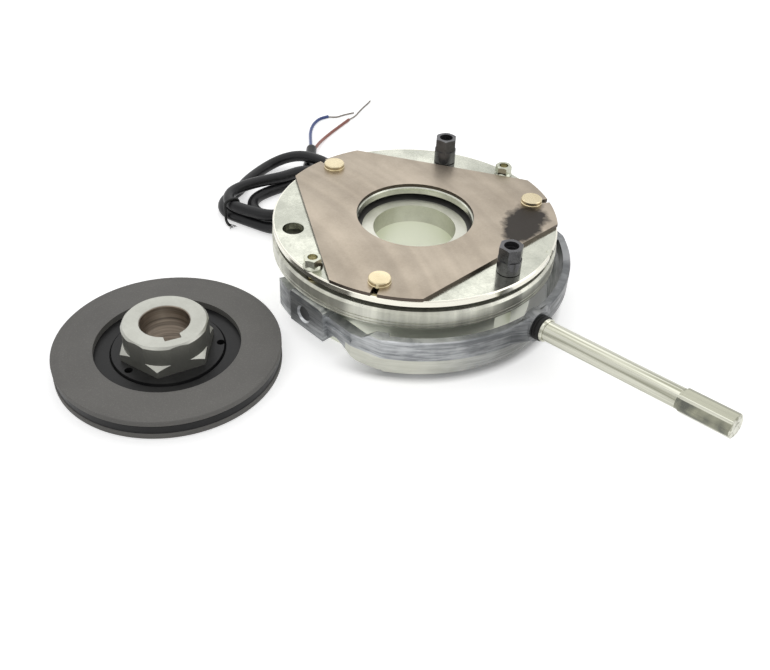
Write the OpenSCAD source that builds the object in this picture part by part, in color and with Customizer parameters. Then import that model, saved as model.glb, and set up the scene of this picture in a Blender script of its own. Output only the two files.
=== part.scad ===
/* [Magnet] */
// Outer radius of the magnet flange
flange_r = 75.5; // [74:0.5:80]
// Thickness of the magnet flange
flange_t = 9.8; // [8.6:0.2:12]
// Whole height of the magnet body
magnet_h = 37.5; // [36:0.5:44]
// Width of the flange outside the drum
flange_rim_w = 9.5; // [8.5:0.5:11]
// Radius of the shaft hole through the magnet
shaft_bore_r = 22; // [16:0.5:25]
// Inner radius of the coil groove
coil_in_r = 28; // [26.5:0.5:32]
// Thickness of the drum's wall outside the coil groove
outer_pole_w = 13; // [12:0.5:20]
// Depth of the coil groove under the pole face
coil_depth = 24; // [16:0.5:28]
// Thickness of the potting over the coil
potting_t = 3; // [2:0.5:5]
// Depth of the turned lines round the flange
turned_line_d = 0.5; // [0.2:0.1:0.8]

/* [Armature] */
// Air gap between pole face and armature
air_gap = 2.7; // [2:0.1:4]
// Distance of the armature's rim inside the flange's rim
armature_inset = 0.5; // [0.2:0.1:1.5]
// Thickness of the armature plate
armature_t = 3.8; // [3:0.1:6]
// Radius of the armature's middle hole
armature_hole_r = 30.2; // [27:0.1:34]
// Radius of the half-round notch in the rim
notch_r = 2.75; // [1.5:0.25:4]
// Thickness of the friction plate
friction_t = 1.8; // [1:0.1:3]
// Radius of the friction plate's middle hole
friction_hole_r = 31; // [28:0.5:40]
// Depth of the friction plate's straight edges inside the armature's rim
friction_cut = 19.3; // [19:0.1:21]
// Distance of the three plate pins inside the armature's rim
pin_inset = 10; // [8:0.5:12]
// Radius of a plate pin's head
pin_head_r = 5.75; // [4:0.25:7]
// Height of a plate pin's head
pin_head_h = 2.8; // [2:0.1:4]
// Radius of a plate pin's shank
pin_shank_r = 1.5; // [1:0.1:2]

/* [Hollow bolts] */
// Distance of the hollow bolts inside the flange's rim
bolt_inset = 10.5; // [9.5:0.5:12]
// Width across the flats of a hollow bolt
bolt_af = 10.9; // [10:0.1:12.5]
// Height of a hollow bolt above the armature
bolt_h = 14.6; // [12:0.2:20]
// Radius of a hollow bolt's round collar
bolt_collar_r = 6; // [5.8:0.1:7]
// Height of the round collar
bolt_collar_h = 7.2; // [3:0.1:9]
// Turn of the rear hollow bolt's flats, in degrees
rear_bolt_turn = 11; // [0:1:30]
// Radius of the shank screwed into the flange
bolt_shank_r = 4.9; // [4.5:0.1:5.4]
// Radius of the through hole for the fixing screw
bolt_bore_r = 3.3; // [2.6:0.1:3.5]
// Radius of the widened mouth
bolt_mouth_r = 3.7; // [3.6:0.1:4.6]
// Depth of the widened mouth
bolt_mouth_d = 3; // [1.5:0.5:5]

/* [Springs] */
// Number of torque springs
spring_count = 6; // [3:3:6]
// Outer radius of a torque spring
spring_r = 4.2; // [3:0.1:4.4]
// Depth of a torque spring's pocket
spring_pocket_d = 20; // [12:0.5:26]
// Wire radius of a torque spring
spring_wire_r = 0.65; // [0.4:0.05:0.8]
// Outer radius of a release spring
release_spring_r = 3.7; // [3.5:0.1:3.8]
// Wire radius of a release spring
release_wire_r = 0.45; // [0.3:0.05:0.5]
// Depth of a release spring's pocket
release_pocket_d = 5; // [3:0.5:6]

/* [Hand release] */
// Distance of the release studs outside the drum
stud_offset = 4.5; // [4.4:0.1:4.8]
// Radius of a release stud
stud_r = 2.5; // [2:0.1:2.6]
// Width across the flats of a release nut
nut_af = 8; // [7.5:0.1:9]
// Height of a release nut with its flange
nut_h = 5.5; // [4.5:0.1:7]
// Radius of a release nut's flange
nut_flange_r = 5; // [4.7:0.1:5.2]
// Radius of a cross pin in the yoke's ears
cross_pin_r = 3.95; // [3.6:0.05:4.2]
// Height of the cross pins' axis
cross_pin_z = 17.5; // [16:0.5:18.5]
// Width of a yoke ear along the lever
ear_w = 25; // [22:0.5:28]
// Lower end of the ears
ear_low_z = 9; // [7:0.5:11]
// Distance of an ear's outer face outside the flange
ear_proud = 1.5; // [1:0.1:3]
// Offset of the ears from their pins, towards the lever
ear_shift = 2.3; // [0:0.1:3]
// Distance of an arm's outer face behind the ear's face
arm_setback = 3; // [2:0.1:3.5]
// Upper edge of the arms next to the ears
arm_top_z = 23.5; // [22:0.5:24]
// Radial gap between flange and bow
bow_gap = 5; // [4.5:0.1:7]
// Thickness of the bow's upper wall
bow_t = 4; // [3.5:0.1:6]
// Half of the angle that the bow covers
bow_half_angle = 55; // [52:1:58]
// Upper edge of the bow
bow_top_z = 26.5; // [25:0.5:27]
// Lower edge of the bow
bow_low_z = 3; // [2:0.5:5]
// Height at which the bow's lower bevel starts
bow_bevel_z = 15.5; // [12:0.5:18]
// Angle at which the rear stubs end, from the lever
stub_end_angle = 110; // [104:1:116]

/* [Lever] */
// Distance of the boss's outer face outside the flange
boss_reach = 13.1; // [10.6:0.1:14]
// Height of the lever's axis at that face
boss_z = 22.9; // [21:0.1:23.2]
// Upward slope of the lever in degrees
lever_tilt = 5.2; // [0:0.1:8]
// Radius of the yoke's lever boss
boss_r = 8; // [7.5:0.1:9]
// Radius of the lever rod
rod_r = 5.2; // [4:0.1:5.6]
// Length of the rubber ring
seal_len = 3.6; // [2.5:0.1:8]
// Outer radius of the rubber ring
seal_r = 6.5; // [6.2:0.1:7.8]
// Length of the bright collar
collar_len = 2; // [1.2:0.1:6]
// Outer radius of the bright collar
collar_r = 6; // [5.9:0.1:7.5]
// Length of the lever from the boss to its tip
lever_len = 106.5; // [80:0.5:160]
// Length of the end grip
grip_len = 26; // [15:0.5:40]
// Width across the flats of the end grip
grip_af = 11.4; // [11.4:0.1:16]
// Turn of the grip's flats about the lever, in degrees
grip_turn = 40; // [0:1:60]

/* [Rotor and hub] */
// Distance of the loose rotor from the flange
rotor_gap = 9.2; // [4:0.1:30]
// Outer radius of the friction linings
lining_r = 55.6; // [52:0.1:58]
// Inner radius of the friction linings
lining_in_r = 35.8; // [33:0.1:40]
// Thickness of one friction lining
lining_t = 3.4; // [2.5:0.1:4.5]
// Thickness of the rotor carrier's rim
carrier_t = 4.1; // [3:0.1:6]
// Thickness of the carrier round the hub
carrier_hub_t = 7.3; // [6:0.1:8]
// Radius of the two small holes in the carrier
carrier_hole_r = 2; // [1.2:0.1:2.4]
// Width across the flats of the hub's hexagon
hub_af = 41; // [38:0.1:43]
// Radius of the hub's turned end
hub_turned_r = 21; // [20.8:0.1:22.5]
// Height of the hub
hub_h = 24.8; // [20:0.2:30]
// Height at which the hub's corners start to slope in
hub_ledge_z = 12; // [11:0.1:14]
// Height of that slope
hub_slope_h = 2.2; // [0.5:0.1:4]
// Radius of the hub's bore
hub_bore_r = 12; // [9:0.5:15]
// Width of the keyway
key_w = 8; // [5:0.5:9]
// Depth of the keyway outside the bore
key_d = 3.3; // [2:0.1:4]

/* [Cable] */
// Radius of the cable's sheath
cable_r = 3.5; // [3:0.1:4]
// Height of the cable's exit from the drum
cable_exit_z = 11; // [10.8:0.1:11.2]
// Length of the grommet outside the drum
grommet_len = 7; // [5:0.5:9]
// Height of the wound part of the cable
coil_h = 14; // [13:0.5:15]
// Radius of a core's insulation
core_r = 1.1; // [0.8:0.1:1.3]
// Radius of a bundle of bare strands
strand_r = 0.5; // [0.3:0.1:0.6]
// Radius of the tie round the cable's turns
tie_r = 0.9; // [0.6:0.1:1]

/* [Hidden] */
$fn = 96;

// Clearances
slip = 0.05;
seat = 0.1;
ease = 0.3;
over = 1;
edge = 0.6;

// Heights of the stack
flange_z = magnet_h - flange_t;
armature_z = magnet_h + air_gap;
armature_top = armature_z + armature_t;
plate_top = armature_top + friction_t;
coil_floor_z = magnet_h - coil_depth;

// Radii that follow the flange
drum_r = flange_r - flange_rim_w;
coil_out_r = drum_r - outer_pole_w;
armature_r = flange_r - armature_inset;
friction_r = armature_r;
friction_flat_d = friction_r - friction_cut;
pin_pitch_r = armature_r - pin_inset;
bolt_pitch_r = flange_r - bolt_inset;
boss_x = flange_r + boss_reach;

// Places round the axis; the lever lies at 0
bolt_angles = [0, 120, 240];
pin_angles = [60, 180, 300];
stud_angles = [90, 270];
notch_angle = 22.6;
cable_angle = 197;
hex_to_corner = 1 / cos(30);

// Torque springs stand in the outer pole
spring_pitch_r = (coil_out_r + drum_r) / 2;
spring_pocket_r = spring_r + 0.4;
spring_floor_z = magnet_h - spring_pocket_d;
first_spring_angle = 30;
screw_relief_r = 6.5;
bolt_hole_r = bolt_shank_r + 0.7;

// Hand release
stud_pitch_r = drum_r + stud_offset;
stud_hole_r = stud_r + 0.7;
release_pocket_r = release_spring_r + 0.3;
ear_top_z = flange_z - ease;
ear_face_y = flange_r + ear_proud;
ear_in_y = drum_r + 0.6;
arm_out_y = ear_face_y - arm_setback;
arm_in_y = drum_r + 2.5;
arm_end_x = 38;
ear_half = ear_w / 2;
ear_fore = ear_half + ear_shift;
ear_aft = ear_half - ear_shift;
ear_relief = ear_shift * 0.4;
bow_in_r = flange_r + bow_gap;
bow_out_r = bow_in_r + bow_t;
bow_foot_r = bow_out_r - 5;
cross_pin_in_y = ear_in_y + 0.9;
cross_pin_end_y = ear_face_y - 1;
slot_half = 1.6;

// Rotor and hub stand beside the brake
rotor_angle = -103.352;
rotor_away = flange_r + rotor_gap + lining_r;
hub_turn = 15;
key_angle = -18;
carrier_z = lining_t;
carrier_hub_low = 1.2;
carrier_hole_places = [[2.5, -23.8], [13.9, 21.5]];
rotor_top = 2 * lining_t + carrier_t;

// Routes of the cable and its cores from where it leaves the drum, points chosen by hand
lead_profile = [
    [-6, 11], [2, 11], [8.5, 11], [11.5, 10.7], [14.5, 9.9], [18, 8.3], [21.5, 6.5],
    [25, 4.9], [28.5, 3.9], [32, 3.6], [38, 3.6], [48, 3.6]
];
tail_route = [[-77.1, 63.5, 3.6], [-80.4, 66.7, 3.6], [-83.7, 69.9, 3.7], [-87.1, 73.1, 4]];
blue_route = [
    [-85.6, 71.7, 4.6], [-92.9, 77.3, 3.4], [-100.9, 83.7, 2.2], [-108.4, 89.9, 1.4],
    [-114.9, 96.6, 1.2], [-119.4, 103.3, 1.2], [-121.8, 110.5, 1.2], [-120.9, 116.9, 1.2]
];
brown_route = [
    [-85.4, 73.9, 3.8], [-92.2, 84, 2.4], [-97.3, 93.7, 1.4],
    [-100.9, 103.3, 1.2], [-104.2, 113.7, 1.2], [-107.7, 125, 1.2]
];
blue_strand_route = [
    [-121, 115.9, 1.2], [-118.9, 118.8, 0.9], [-116.9, 122.3, 0.7], [-116.5, 126.8, 0.7], [-115.3, 132.3, 0.7], [-114.4, 135.8, 0.7]
];
brown_strand_route = [
    [-107.5, 124.1, 1.2], [-108.5, 128.5, 0.9], [-110.2, 134, 0.7], [-113.1, 139.9, 0.7],
    [-116.5, 147.3, 0.7], [-119.2, 154.1, 0.7], [-121.3, 158.5, 0.7]
];
tie_route = [
    [-49.3, -22.3, 1], [-51.7, -22.1, 1.1], [-53.7, -21.6, 2.2], [-54.3, -21.3, 5], [-54.3, -21.3, 10],
    [-54.2, -20.8, 13.4], [-53.9, -19.3, 14.7], [-53.5, -16.7, 14.8], [-52.9, -14.1, 14.6], [-52.6, -12.9, 13.6], [-52.5, -12.6, 11]
];
coil_tip = [-58.4, -3.7];
coil_tip_r = 17;
coil_mid = [-54.4, 37.3];
coil_mid_r = 36.5;

// Helpers
function unit(v) = v / norm(v);
function way_at(pts, i) = unit(pts[min(i + 1, len(pts) - 1)] - pts[max(i - 1, 0)]);
function ring_at(pts, i, r, n) =
    let (t = way_at(pts, i), s = unit(cross(t, [0, 0, 1])), u = cross(s, t))
    [for (k = [0:n - 1]) pts[i] + r * (cos(360 * k / n) * s + sin(360 * k / n) * u)];
function helix(r, low, high, turns, steps) =
    [for (i = [0:turns * steps]) [r * cos(360 * i / steps), r * sin(360 * i / steps), low + (high - low) * i / (turns * steps)]];
function on_circle(r, a) = [r * cos(a), r * sin(a)];
function lead_at(at) = [at[0] * cos(cable_angle), at[0] * sin(cable_angle), at[1]];

module tube(pts, r, n = 8) {
    last = len(pts) - 1;
    polyhedron(
        points = [for (i = [0:last]) each ring_at(pts, i, r, n)],
        faces = concat(
            [[for (k = [n - 1:-1:0]) k]],
            [[for (k = [0:n - 1]) last * n + k]],
            [for (i = [0:last - 1], k = [0:n - 1]) [i * n + k, i * n + (k + 1) % n, (i + 1) * n + (k + 1) % n]],
            [for (i = [0:last - 1], k = [0:n - 1]) [i * n + k, (i + 1) * n + (k + 1) % n, (i + 1) * n + k]]
        ),
        convexity = 6
    );
}

module round_at(angles, r)
    for (a = angles)
        rotate([0, 0, a])
            translate([r, 0, 0])
                children();

module hexagon(af, h)
    cylinder(r = af / 2 * hex_to_corner, h = h, $fn = 6);

module hole(r, low, high)
    translate([0, 0, low])
        cylinder(r = r, h = high - low);

module ring(r_out, r_in, low, high)
    rotate_extrude()
        translate([r_in, low])
            square([r_out - r_in, high - low]);

// A turned disc whose ends are bevelled, to cut corners off a hexagon
module bevelled(r, low, high, bevel)
    rotate_extrude()
        polygon([[0, low], [r - bevel, low], [r, low + bevel / 2], [r, high - bevel / 2], [r - bevel, high], [0, high]]);

module along_lever()
    translate([boss_x, 0, boss_z])
        rotate([0, 90 - lever_tilt, 0])
            children();

module at_exit()
    translate([drum_r * cos(cable_angle), drum_r * sin(cable_angle), 0])
        children();

module at_rotor()
    translate([rotor_away * cos(rotor_angle), rotor_away * sin(rotor_angle), 0])
        children();

// Magnet side
module magnet_body() {
    line = turned_line_d;
    line_low = flange_z + 1.4;
    line_high = flange_z + 3.2;
    color("silver")
        difference() {
            rotate_extrude()
                polygon([
                    [shaft_bore_r, 0], [drum_r - edge, 0], [drum_r, edge], [drum_r, flange_z],
                    [flange_r - edge, flange_z], [flange_r, flange_z + edge],
                    [flange_r, line_low], [flange_r - line, line_low + line / 2], [flange_r, line_low + line],
                    [flange_r, line_high], [flange_r - line, line_high + line / 2], [flange_r, line_high + line],
                    [flange_r, magnet_h - 1.2], [flange_r - 1.2, magnet_h],
                    [coil_out_r, magnet_h], [coil_out_r, coil_floor_z], [coil_in_r, coil_floor_z],
                    [coil_in_r, magnet_h], [shaft_bore_r, magnet_h]
                ]);
            round_at(bolt_angles, bolt_pitch_r) {
                hole(bolt_shank_r + slip, flange_z - over, magnet_h + over);
                hole(screw_relief_r, -over, flange_z + ease);
            }
            round_at(stud_angles, stud_pitch_r) {
                hole(stud_hole_r, flange_z - over, magnet_h + over);
                hole(release_pocket_r, flange_z - over, flange_z + release_pocket_d);
            }
            round_at([for (i = [0:spring_count - 1]) first_spring_angle + i * 360 / spring_count], spring_pitch_r)
                hole(spring_pocket_r, spring_floor_z, magnet_h + over);
            rotate([0, 0, cable_angle])
                translate([coil_out_r - 2, 0, cable_exit_z])
                    rotate([0, 90, 0])
                        cylinder(r = cable_r + 1.1, h = drum_r - coil_out_r + over + 2);
        }
}

module coil_bobbin() {
    wall = 1.2;
    low = coil_floor_z + ease;
    high = magnet_h - potting_t - seat;
    color("ivory")
        rotate_extrude()
            polygon([
                [coil_in_r + ease, low], [coil_out_r - ease, low], [coil_out_r - ease, low + wall],
                [coil_in_r + ease + wall, low + wall], [coil_in_r + ease + wall, high - wall],
                [coil_out_r - ease, high - wall], [coil_out_r - ease, high], [coil_in_r + ease, high]
            ]);
}

module coil_winding() {
    wall = 1.2;
    color("peru")
        ring(
            coil_out_r - 1, coil_in_r + ease + wall + seat,
            coil_floor_z + ease + wall + seat, magnet_h - potting_t - 2 * seat - wall
        );
}

module potting_ring()
    color("dimgray")
        ring(coil_out_r - slip, coil_in_r + slip, magnet_h - potting_t, magnet_h - ease);

module hollow_bolt() {
    low = flange_z;
    collar_low = armature_top + ease;
    collar_high = collar_low + bolt_collar_h;
    top = armature_top + bolt_h;
    difference() {
        union() {
            hole(bolt_shank_r, low, collar_low + over / 2);
            hole(bolt_collar_r, collar_low, collar_high);
            intersection() {
                translate([0, 0, collar_high - over / 2])
                    hexagon(bolt_af, top - collar_high + over / 2);
                bevelled(bolt_af / 2 * hex_to_corner, collar_high - over, top, 0.7);
            }
        }
        hole(bolt_bore_r, low - over, top + over);
        hole(bolt_mouth_r, top - bolt_mouth_d, top + over);
    }
}

module hollow_bolt_front()
    color("dimgray")
        round_at([bolt_angles[0]], bolt_pitch_r)
            hollow_bolt();

module hollow_bolt_rear()
    color("dimgray")
        round_at([bolt_angles[1]], bolt_pitch_r)
            rotate([0, 0, rear_bolt_turn])
                hollow_bolt();

module torque_springs()
    color("gainsboro")
        round_at([for (i = [0:spring_count - 1]) first_spring_angle + i * 360 / spring_count], spring_pitch_r)
            tube(
                helix(
                    spring_r - spring_wire_r, spring_floor_z + spring_wire_r + slip,
                    armature_z - spring_wire_r - seat, 5, 8
                ),
                spring_wire_r, 5
            );

module release_springs()
    color("gainsboro")
        round_at(stud_angles, stud_pitch_r)
            tube(
                helix(
                    release_spring_r - release_wire_r, ear_top_z + release_wire_r + slip,
                    flange_z + release_pocket_d - release_wire_r - slip, 3, 8
                ),
                release_wire_r, 5
            );

// Armature side
module armature_plate()
    color("gainsboro")
        difference() {
            rotate_extrude()
                polygon([
                    [armature_hole_r, armature_z], [armature_r - edge, armature_z], [armature_r, armature_z + edge],
                    [armature_r, armature_top - edge], [armature_r - edge, armature_top],
                    [armature_hole_r + edge, armature_top], [armature_hole_r, armature_top - edge]
                ]);
            round_at(bolt_angles, bolt_pitch_r)
                hole(bolt_hole_r, armature_z - over, armature_top + over);
            round_at(pin_angles, pin_pitch_r)
                hole(pin_shank_r + slip, armature_z - over, armature_top + over);
            round_at(stud_angles, stud_pitch_r)
                hole(stud_r + slip, armature_z - over, armature_top + over);
            round_at([notch_angle], armature_r)
                hole(notch_r, armature_z - over, armature_top + over);
        }

module friction_plate() {
    slot_w = 2 * pin_shank_r + 0.4;
    color("tan")
        difference() {
            ring(friction_r, friction_hole_r, armature_top, plate_top);
            for (a = bolt_angles)
                rotate([0, 0, a])
                    translate([friction_flat_d, -friction_r, armature_top - over])
                        cube([friction_r, 2 * friction_r, friction_t + 2 * over]);
            round_at(pin_angles, pin_pitch_r) {
                hole(slot_w / 2, armature_top - over, plate_top + over);
                translate([0, -slot_w / 2, armature_top - over])
                    cube([friction_r, slot_w, friction_t + 2 * over]);
            }
        }
}

module plate_pins()
    color("palegoldenrod")
        round_at(pin_angles, pin_pitch_r)
            rotate_extrude()
                polygon([
                    [0, armature_z + edge], [pin_shank_r, armature_z + edge], [pin_shank_r, plate_top],
                    [pin_head_r, plate_top], [pin_head_r, plate_top + 0.6], [pin_head_r - 0.3, plate_top + 0.8],
                    [pin_head_r - 0.15, plate_top + 1], [pin_head_r - 0.15, plate_top + pin_head_h - 0.4],
                    [pin_head_r - 0.55, plate_top + pin_head_h], [0, plate_top + pin_head_h]
                ]);

// Hand release
module release_studs() {
    low = cross_pin_z - stud_r - ease;
    high = armature_top + nut_h - 2.5;
    color("khaki")
        round_at(stud_angles, stud_pitch_r)
            bevelled(stud_r, low, high, 0.4);
}

module release_nuts() {
    high = armature_top + nut_h;
    flange_h = 1.2;
    color("silver")
        round_at(stud_angles, stud_pitch_r)
            difference() {
                union() {
                    rotate_extrude()
                        polygon([
                            [0, armature_top], [nut_flange_r, armature_top], [nut_flange_r, armature_top + 0.5],
                            [nut_af / 2, armature_top + flange_h + 0.6], [0, armature_top + flange_h + 0.6]
                        ]);
                    intersection() {
                        translate([0, 0, armature_top + 0.5])
                            hexagon(nut_af, nut_h - 0.5);
                        bevelled(nut_af / 2 * hex_to_corner, armature_top, high, 0.6);
                    }
                }
                hole(stud_r + slip, armature_top - over, high + over);
            }
}

module cross_pins()
    color("gray")
        for (side = [0, 1])
            mirror([0, side, 0])
                difference() {
                    translate([0, cross_pin_in_y, cross_pin_z])
                        rotate([-90, 0, 0])
                            cylinder(r = cross_pin_r, h = cross_pin_end_y - cross_pin_in_y);
                    translate([0, stud_pitch_r, 0])
                        hole(stud_r + slip, 0, magnet_h);
                }

module bow_band()
    rotate([0, 0, -bow_half_angle])
        rotate_extrude(angle = 2 * bow_half_angle)
            polygon([
                [bow_in_r, bow_top_z], [bow_out_r - edge, bow_top_z], [bow_out_r, bow_top_z - edge],
                [bow_out_r, bow_bevel_z], [bow_foot_r, bow_low_z], [bow_foot_r - 4.5, bow_low_z],
                [bow_foot_r - 4.5, bow_low_z + 2], [bow_in_r - 1.5, bow_bevel_z], [bow_in_r - 1.5, bow_top_z - 4]
            ]);

module ear()
    translate([0, ear_face_y, 0])
        rotate([90, 0, 0])
            linear_extrude(height = ear_face_y - ear_in_y)
                polygon([
                    [-ear_aft, ear_low_z], [ear_fore, ear_low_z], [ear_fore, ear_top_z - edge - ear_relief],
                    [ear_half - edge, ear_top_z], [edge - ear_aft, ear_top_z], [-ear_aft, ear_top_z - edge]
                ]);

// One side's arm and rear stub, as a plan cut by a side profile
module arm_and_stub() {
    foot_r = bow_foot_r - 1.4;
    heel_r = bow_out_r - 0.2;
    stub_r = flange_r + 0.5;
    stub_x = stub_r * cos(stub_end_angle);
    stub_start = asin((ear_aft - over) / flange_r);
    intersection() {
        union() {
            linear_extrude(height = bow_top_z - seat)
                polygon([
                    [ear_fore - over, arm_in_y], [arm_end_x, arm_in_y],
                    on_circle(foot_r, bow_half_angle + 0.6), on_circle(foot_r, bow_half_angle - 2),
                    on_circle(heel_r, bow_half_angle - 2), on_circle(heel_r, bow_half_angle + 0.5),
                    [arm_end_x - 6, arm_out_y], [ear_fore - over, arm_out_y]
                ]);
            rotate([0, 0, 90 + stub_start])
                rotate_extrude(angle = stub_end_angle - 90 - stub_start)
                    translate([drum_r + 2.5, 0])
                        square([stub_r - drum_r - 2.5, arm_top_z]);
        }
        translate([0, 2 * flange_r, 0])
            rotate([90, 0, 0])
                linear_extrude(height = 2 * flange_r)
                    polygon([
                        [stub_x - 9, 7], [-ear_aft - 0.4, 7.4], [1.5 - ear_aft, ear_low_z + 0.6],
                        [ear_fore - 1.5, ear_low_z + 0.7], [ear_fore + 0.3, ear_low_z + 1.5],
                        [ear_fore + 3.5, ear_low_z + 4.5], [ear_fore + 7, ear_low_z + 5],
                        [ear_fore + 11, ear_low_z + 3.5], [arm_end_x - 6, ear_low_z],
                        [arm_end_x + 6, bow_low_z + 1], [bow_out_r, bow_low_z + 0.5],
                        [bow_out_r, bow_top_z], [arm_end_x + 4, bow_top_z], [arm_end_x, arm_top_z - seat],
                        [stub_x - 9, arm_top_z - 2 * seat]
                    ]);
        rotate_extrude()
            polygon([
                [0, 0], [bow_foot_r - 0.2, 0], [bow_foot_r - 0.2, bow_low_z], [heel_r, bow_bevel_z],
                [heel_r, magnet_h], [0, magnet_h]
            ]);
    }
}

// A raised rib along the arm, from the ear into the bow
module arm_rib() {
    rib_z = cross_pin_z + 1;
    translate([ear_fore - 0.5, arm_out_y - 1, rib_z - 0.8])
        cube([arm_end_x - ear_fore - 5, 1.8, 1.6]);
}

module lever_boss()
    union() {
        along_lever()
            translate([0, 0, -6])
                cylinder(r = boss_r, h = 6);
        hull() {
            along_lever()
                translate([0, 0, -1.7])
                    cylinder(r = boss_r - 0.5, h = 0.9, $fn = 32);
            translate([bow_in_r + 0.6, -2 * boss_r, bow_bevel_z])
                cube([1.3, 4 * boss_r, bow_top_z - bow_bevel_z - 0.7]);
        }
    }

module release_yoke()
    color("lightslategray")
        difference() {
            union() {
                bow_band();
                lever_boss();
                for (side = [0, 1])
                    mirror([0, side, 0]) {
                        ear();
                        arm_and_stub();
                        arm_rib();
                    }
            }
            along_lever()
                translate([0, 0, -5])
                    cylinder(r = rod_r + slip, h = 5 + over);
            for (side = [0, 1])
                mirror([0, side, 0]) {
                    translate([0, ear_in_y - over, cross_pin_z])
                        rotate([-90, 0, 0])
                            cylinder(r = cross_pin_r + slip, h = ear_face_y - ear_in_y + 2 * over);
                    translate([0, ear_face_y, cross_pin_z])
                        rotate([90, 0, 0])
                            cylinder(r1 = cross_pin_r + 1, r2 = cross_pin_r + slip, h = 1);
                    for (x = [-slot_half, slot_half])
                        translate([x, stud_pitch_r, cross_pin_z])
                            cylinder(r = stud_r + ease, h = magnet_h);
                    translate([-slot_half, stud_pitch_r - stud_r - ease, cross_pin_z])
                        cube([2 * slot_half, 2 * (stud_r + ease), magnet_h]);
                    translate([-slot_half - stud_r - ease, ear_in_y - over, cross_pin_z])
                        cube([2 * (slot_half + stud_r + ease), stud_pitch_r - ear_in_y + over, magnet_h]);
                }
        }

// Lever
module lever_seal_ring() {
    waist = 0.7;
    color("black")
        along_lever()
            rotate_extrude()
                polygon([
                    [rod_r + slip, 0], [seal_r - 0.4, 0], [seal_r, 0.4], [seal_r, seal_len * 0.3],
                    [seal_r - waist, seal_len * 0.4], [seal_r - waist, seal_len * 0.6],
                    [seal_r, seal_len * 0.7], [seal_r, seal_len - 0.4], [seal_r - 0.4, seal_len], [rod_r + slip, seal_len]
                ]);
}

module lever_collar()
    color("silver")
        along_lever()
            rotate_extrude()
                polygon([
                    [rod_r + slip, seal_len], [collar_r - 0.4, seal_len], [collar_r, seal_len + 0.4],
                    [collar_r, seal_len + collar_len - 0.5], [collar_r - 0.5, seal_len + collar_len],
                    [rod_r + slip, seal_len + collar_len]
                ]);

module lever_rod()
    color("silver")
        along_lever()
            bevelled(rod_r, -5 + seat, lever_len - 3, 0.6);

module lever_end_grip()
    color("silver")
        along_lever()
            difference() {
                intersection() {
                    translate([0, 0, lever_len - grip_len])
                        rotate([0, 0, grip_turn])
                            hexagon(grip_af, grip_len);
                    bevelled(grip_af / 2 * hex_to_corner - 0.6, lever_len - grip_len, lever_len, 1.2);
                }
                hole(rod_r + slip, lever_len - grip_len - over, lever_len - 3 + seat);
            }

// Rotor and hub
module rotor_carrier() {
    groove_r = 27.3;
    color("dimgray")
        at_rotor()
            difference() {
                rotate_extrude()
                    polygon([
                        [0, carrier_hub_low], [lining_in_r - 1, carrier_hub_low], [lining_in_r - 1, carrier_z],
                        [lining_r - 0.5, carrier_z], [lining_r - 0.5, carrier_z + carrier_t],
                        [lining_in_r - 1, carrier_z + carrier_t], [lining_in_r - 2, carrier_z + carrier_t],
                        [groove_r + 1, carrier_z + carrier_t], [groove_r + 0.4, carrier_z + carrier_t - 0.6],
                        [groove_r, carrier_hub_low + carrier_hub_t], [0, carrier_hub_low + carrier_hub_t]
                    ]);
                rotate([0, 0, hub_turn])
                    hole_hex(hub_af + 0.2, -over, rotor_top + over);
                for (place = carrier_hole_places)
                    translate(place)
                        hole(carrier_hole_r, carrier_hub_low + 3, rotor_top);
            }
}

module hole_hex(af, low, high)
    translate([0, 0, low])
        hexagon(af, high - low);

module lining(low) {
    bevel = 0.7;
    color("gray")
        at_rotor()
            rotate_extrude()
                polygon([
                    [lining_in_r, low], [lining_r - bevel, low], [lining_r, low + bevel],
                    [lining_r, low + lining_t - bevel / 2], [lining_r - bevel / 2, low + lining_t],
                    [lining_in_r, low + lining_t]
                ]);
}

module friction_lining_lower()
    lining(0);

module friction_lining_upper()
    lining(lining_t + carrier_t);

module rotor_hub() {
    corner_r = hub_af / 2 * hex_to_corner;
    color("silver")
        at_rotor()
            difference() {
                intersection() {
                    rotate([0, 0, hub_turn])
                        hexagon(hub_af, hub_h);
                    rotate_extrude()
                        polygon([
                            [0, 0], [corner_r - 0.8, 0], [corner_r + 0.5, 0.9], [corner_r + 0.5, hub_ledge_z - 0.4],
                            [hub_turned_r, hub_ledge_z + hub_slope_h], [hub_turned_r, hub_h - 1.1],
                            [hub_turned_r - 1, hub_h], [0, hub_h]
                        ]);
                }
                hole(hub_bore_r, -over, hub_h + over);
                translate([0, 0, hub_h - 0.5])
                    cylinder(r1 = hub_bore_r, r2 = hub_bore_r + 1, h = 1);
                rotate([0, 0, key_angle])
                    translate([0, -key_w / 2, -over])
                        cube([hub_bore_r + key_d, key_w, hub_h + 2 * over]);
            }
}

// Cable
module cable_grommet() {
    lip = 2.4;
    inside = 8;
    color("black")
        rotate([0, 0, cable_angle])
            translate([drum_r, 0, cable_exit_z])
                rotate([0, 90, 0])
                    rotate_extrude()
                    polygon([
                        [cable_r + slip, -inside], [cable_r + 1, -inside], [cable_r + 1, 0.2], [cable_r + 3, 0.2],
                        [cable_r + 3, lip - 0.5], [cable_r + 2.5, lip], [cable_r + 1.6, lip],
                        [cable_r + 0.8, grommet_len], [cable_r + slip, grommet_len]
                    ]);
}

module cable_lead()
    color("black")
        at_exit()
            tube([for (at = lead_profile) lead_at(at)], cable_r - slip, 10);

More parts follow.
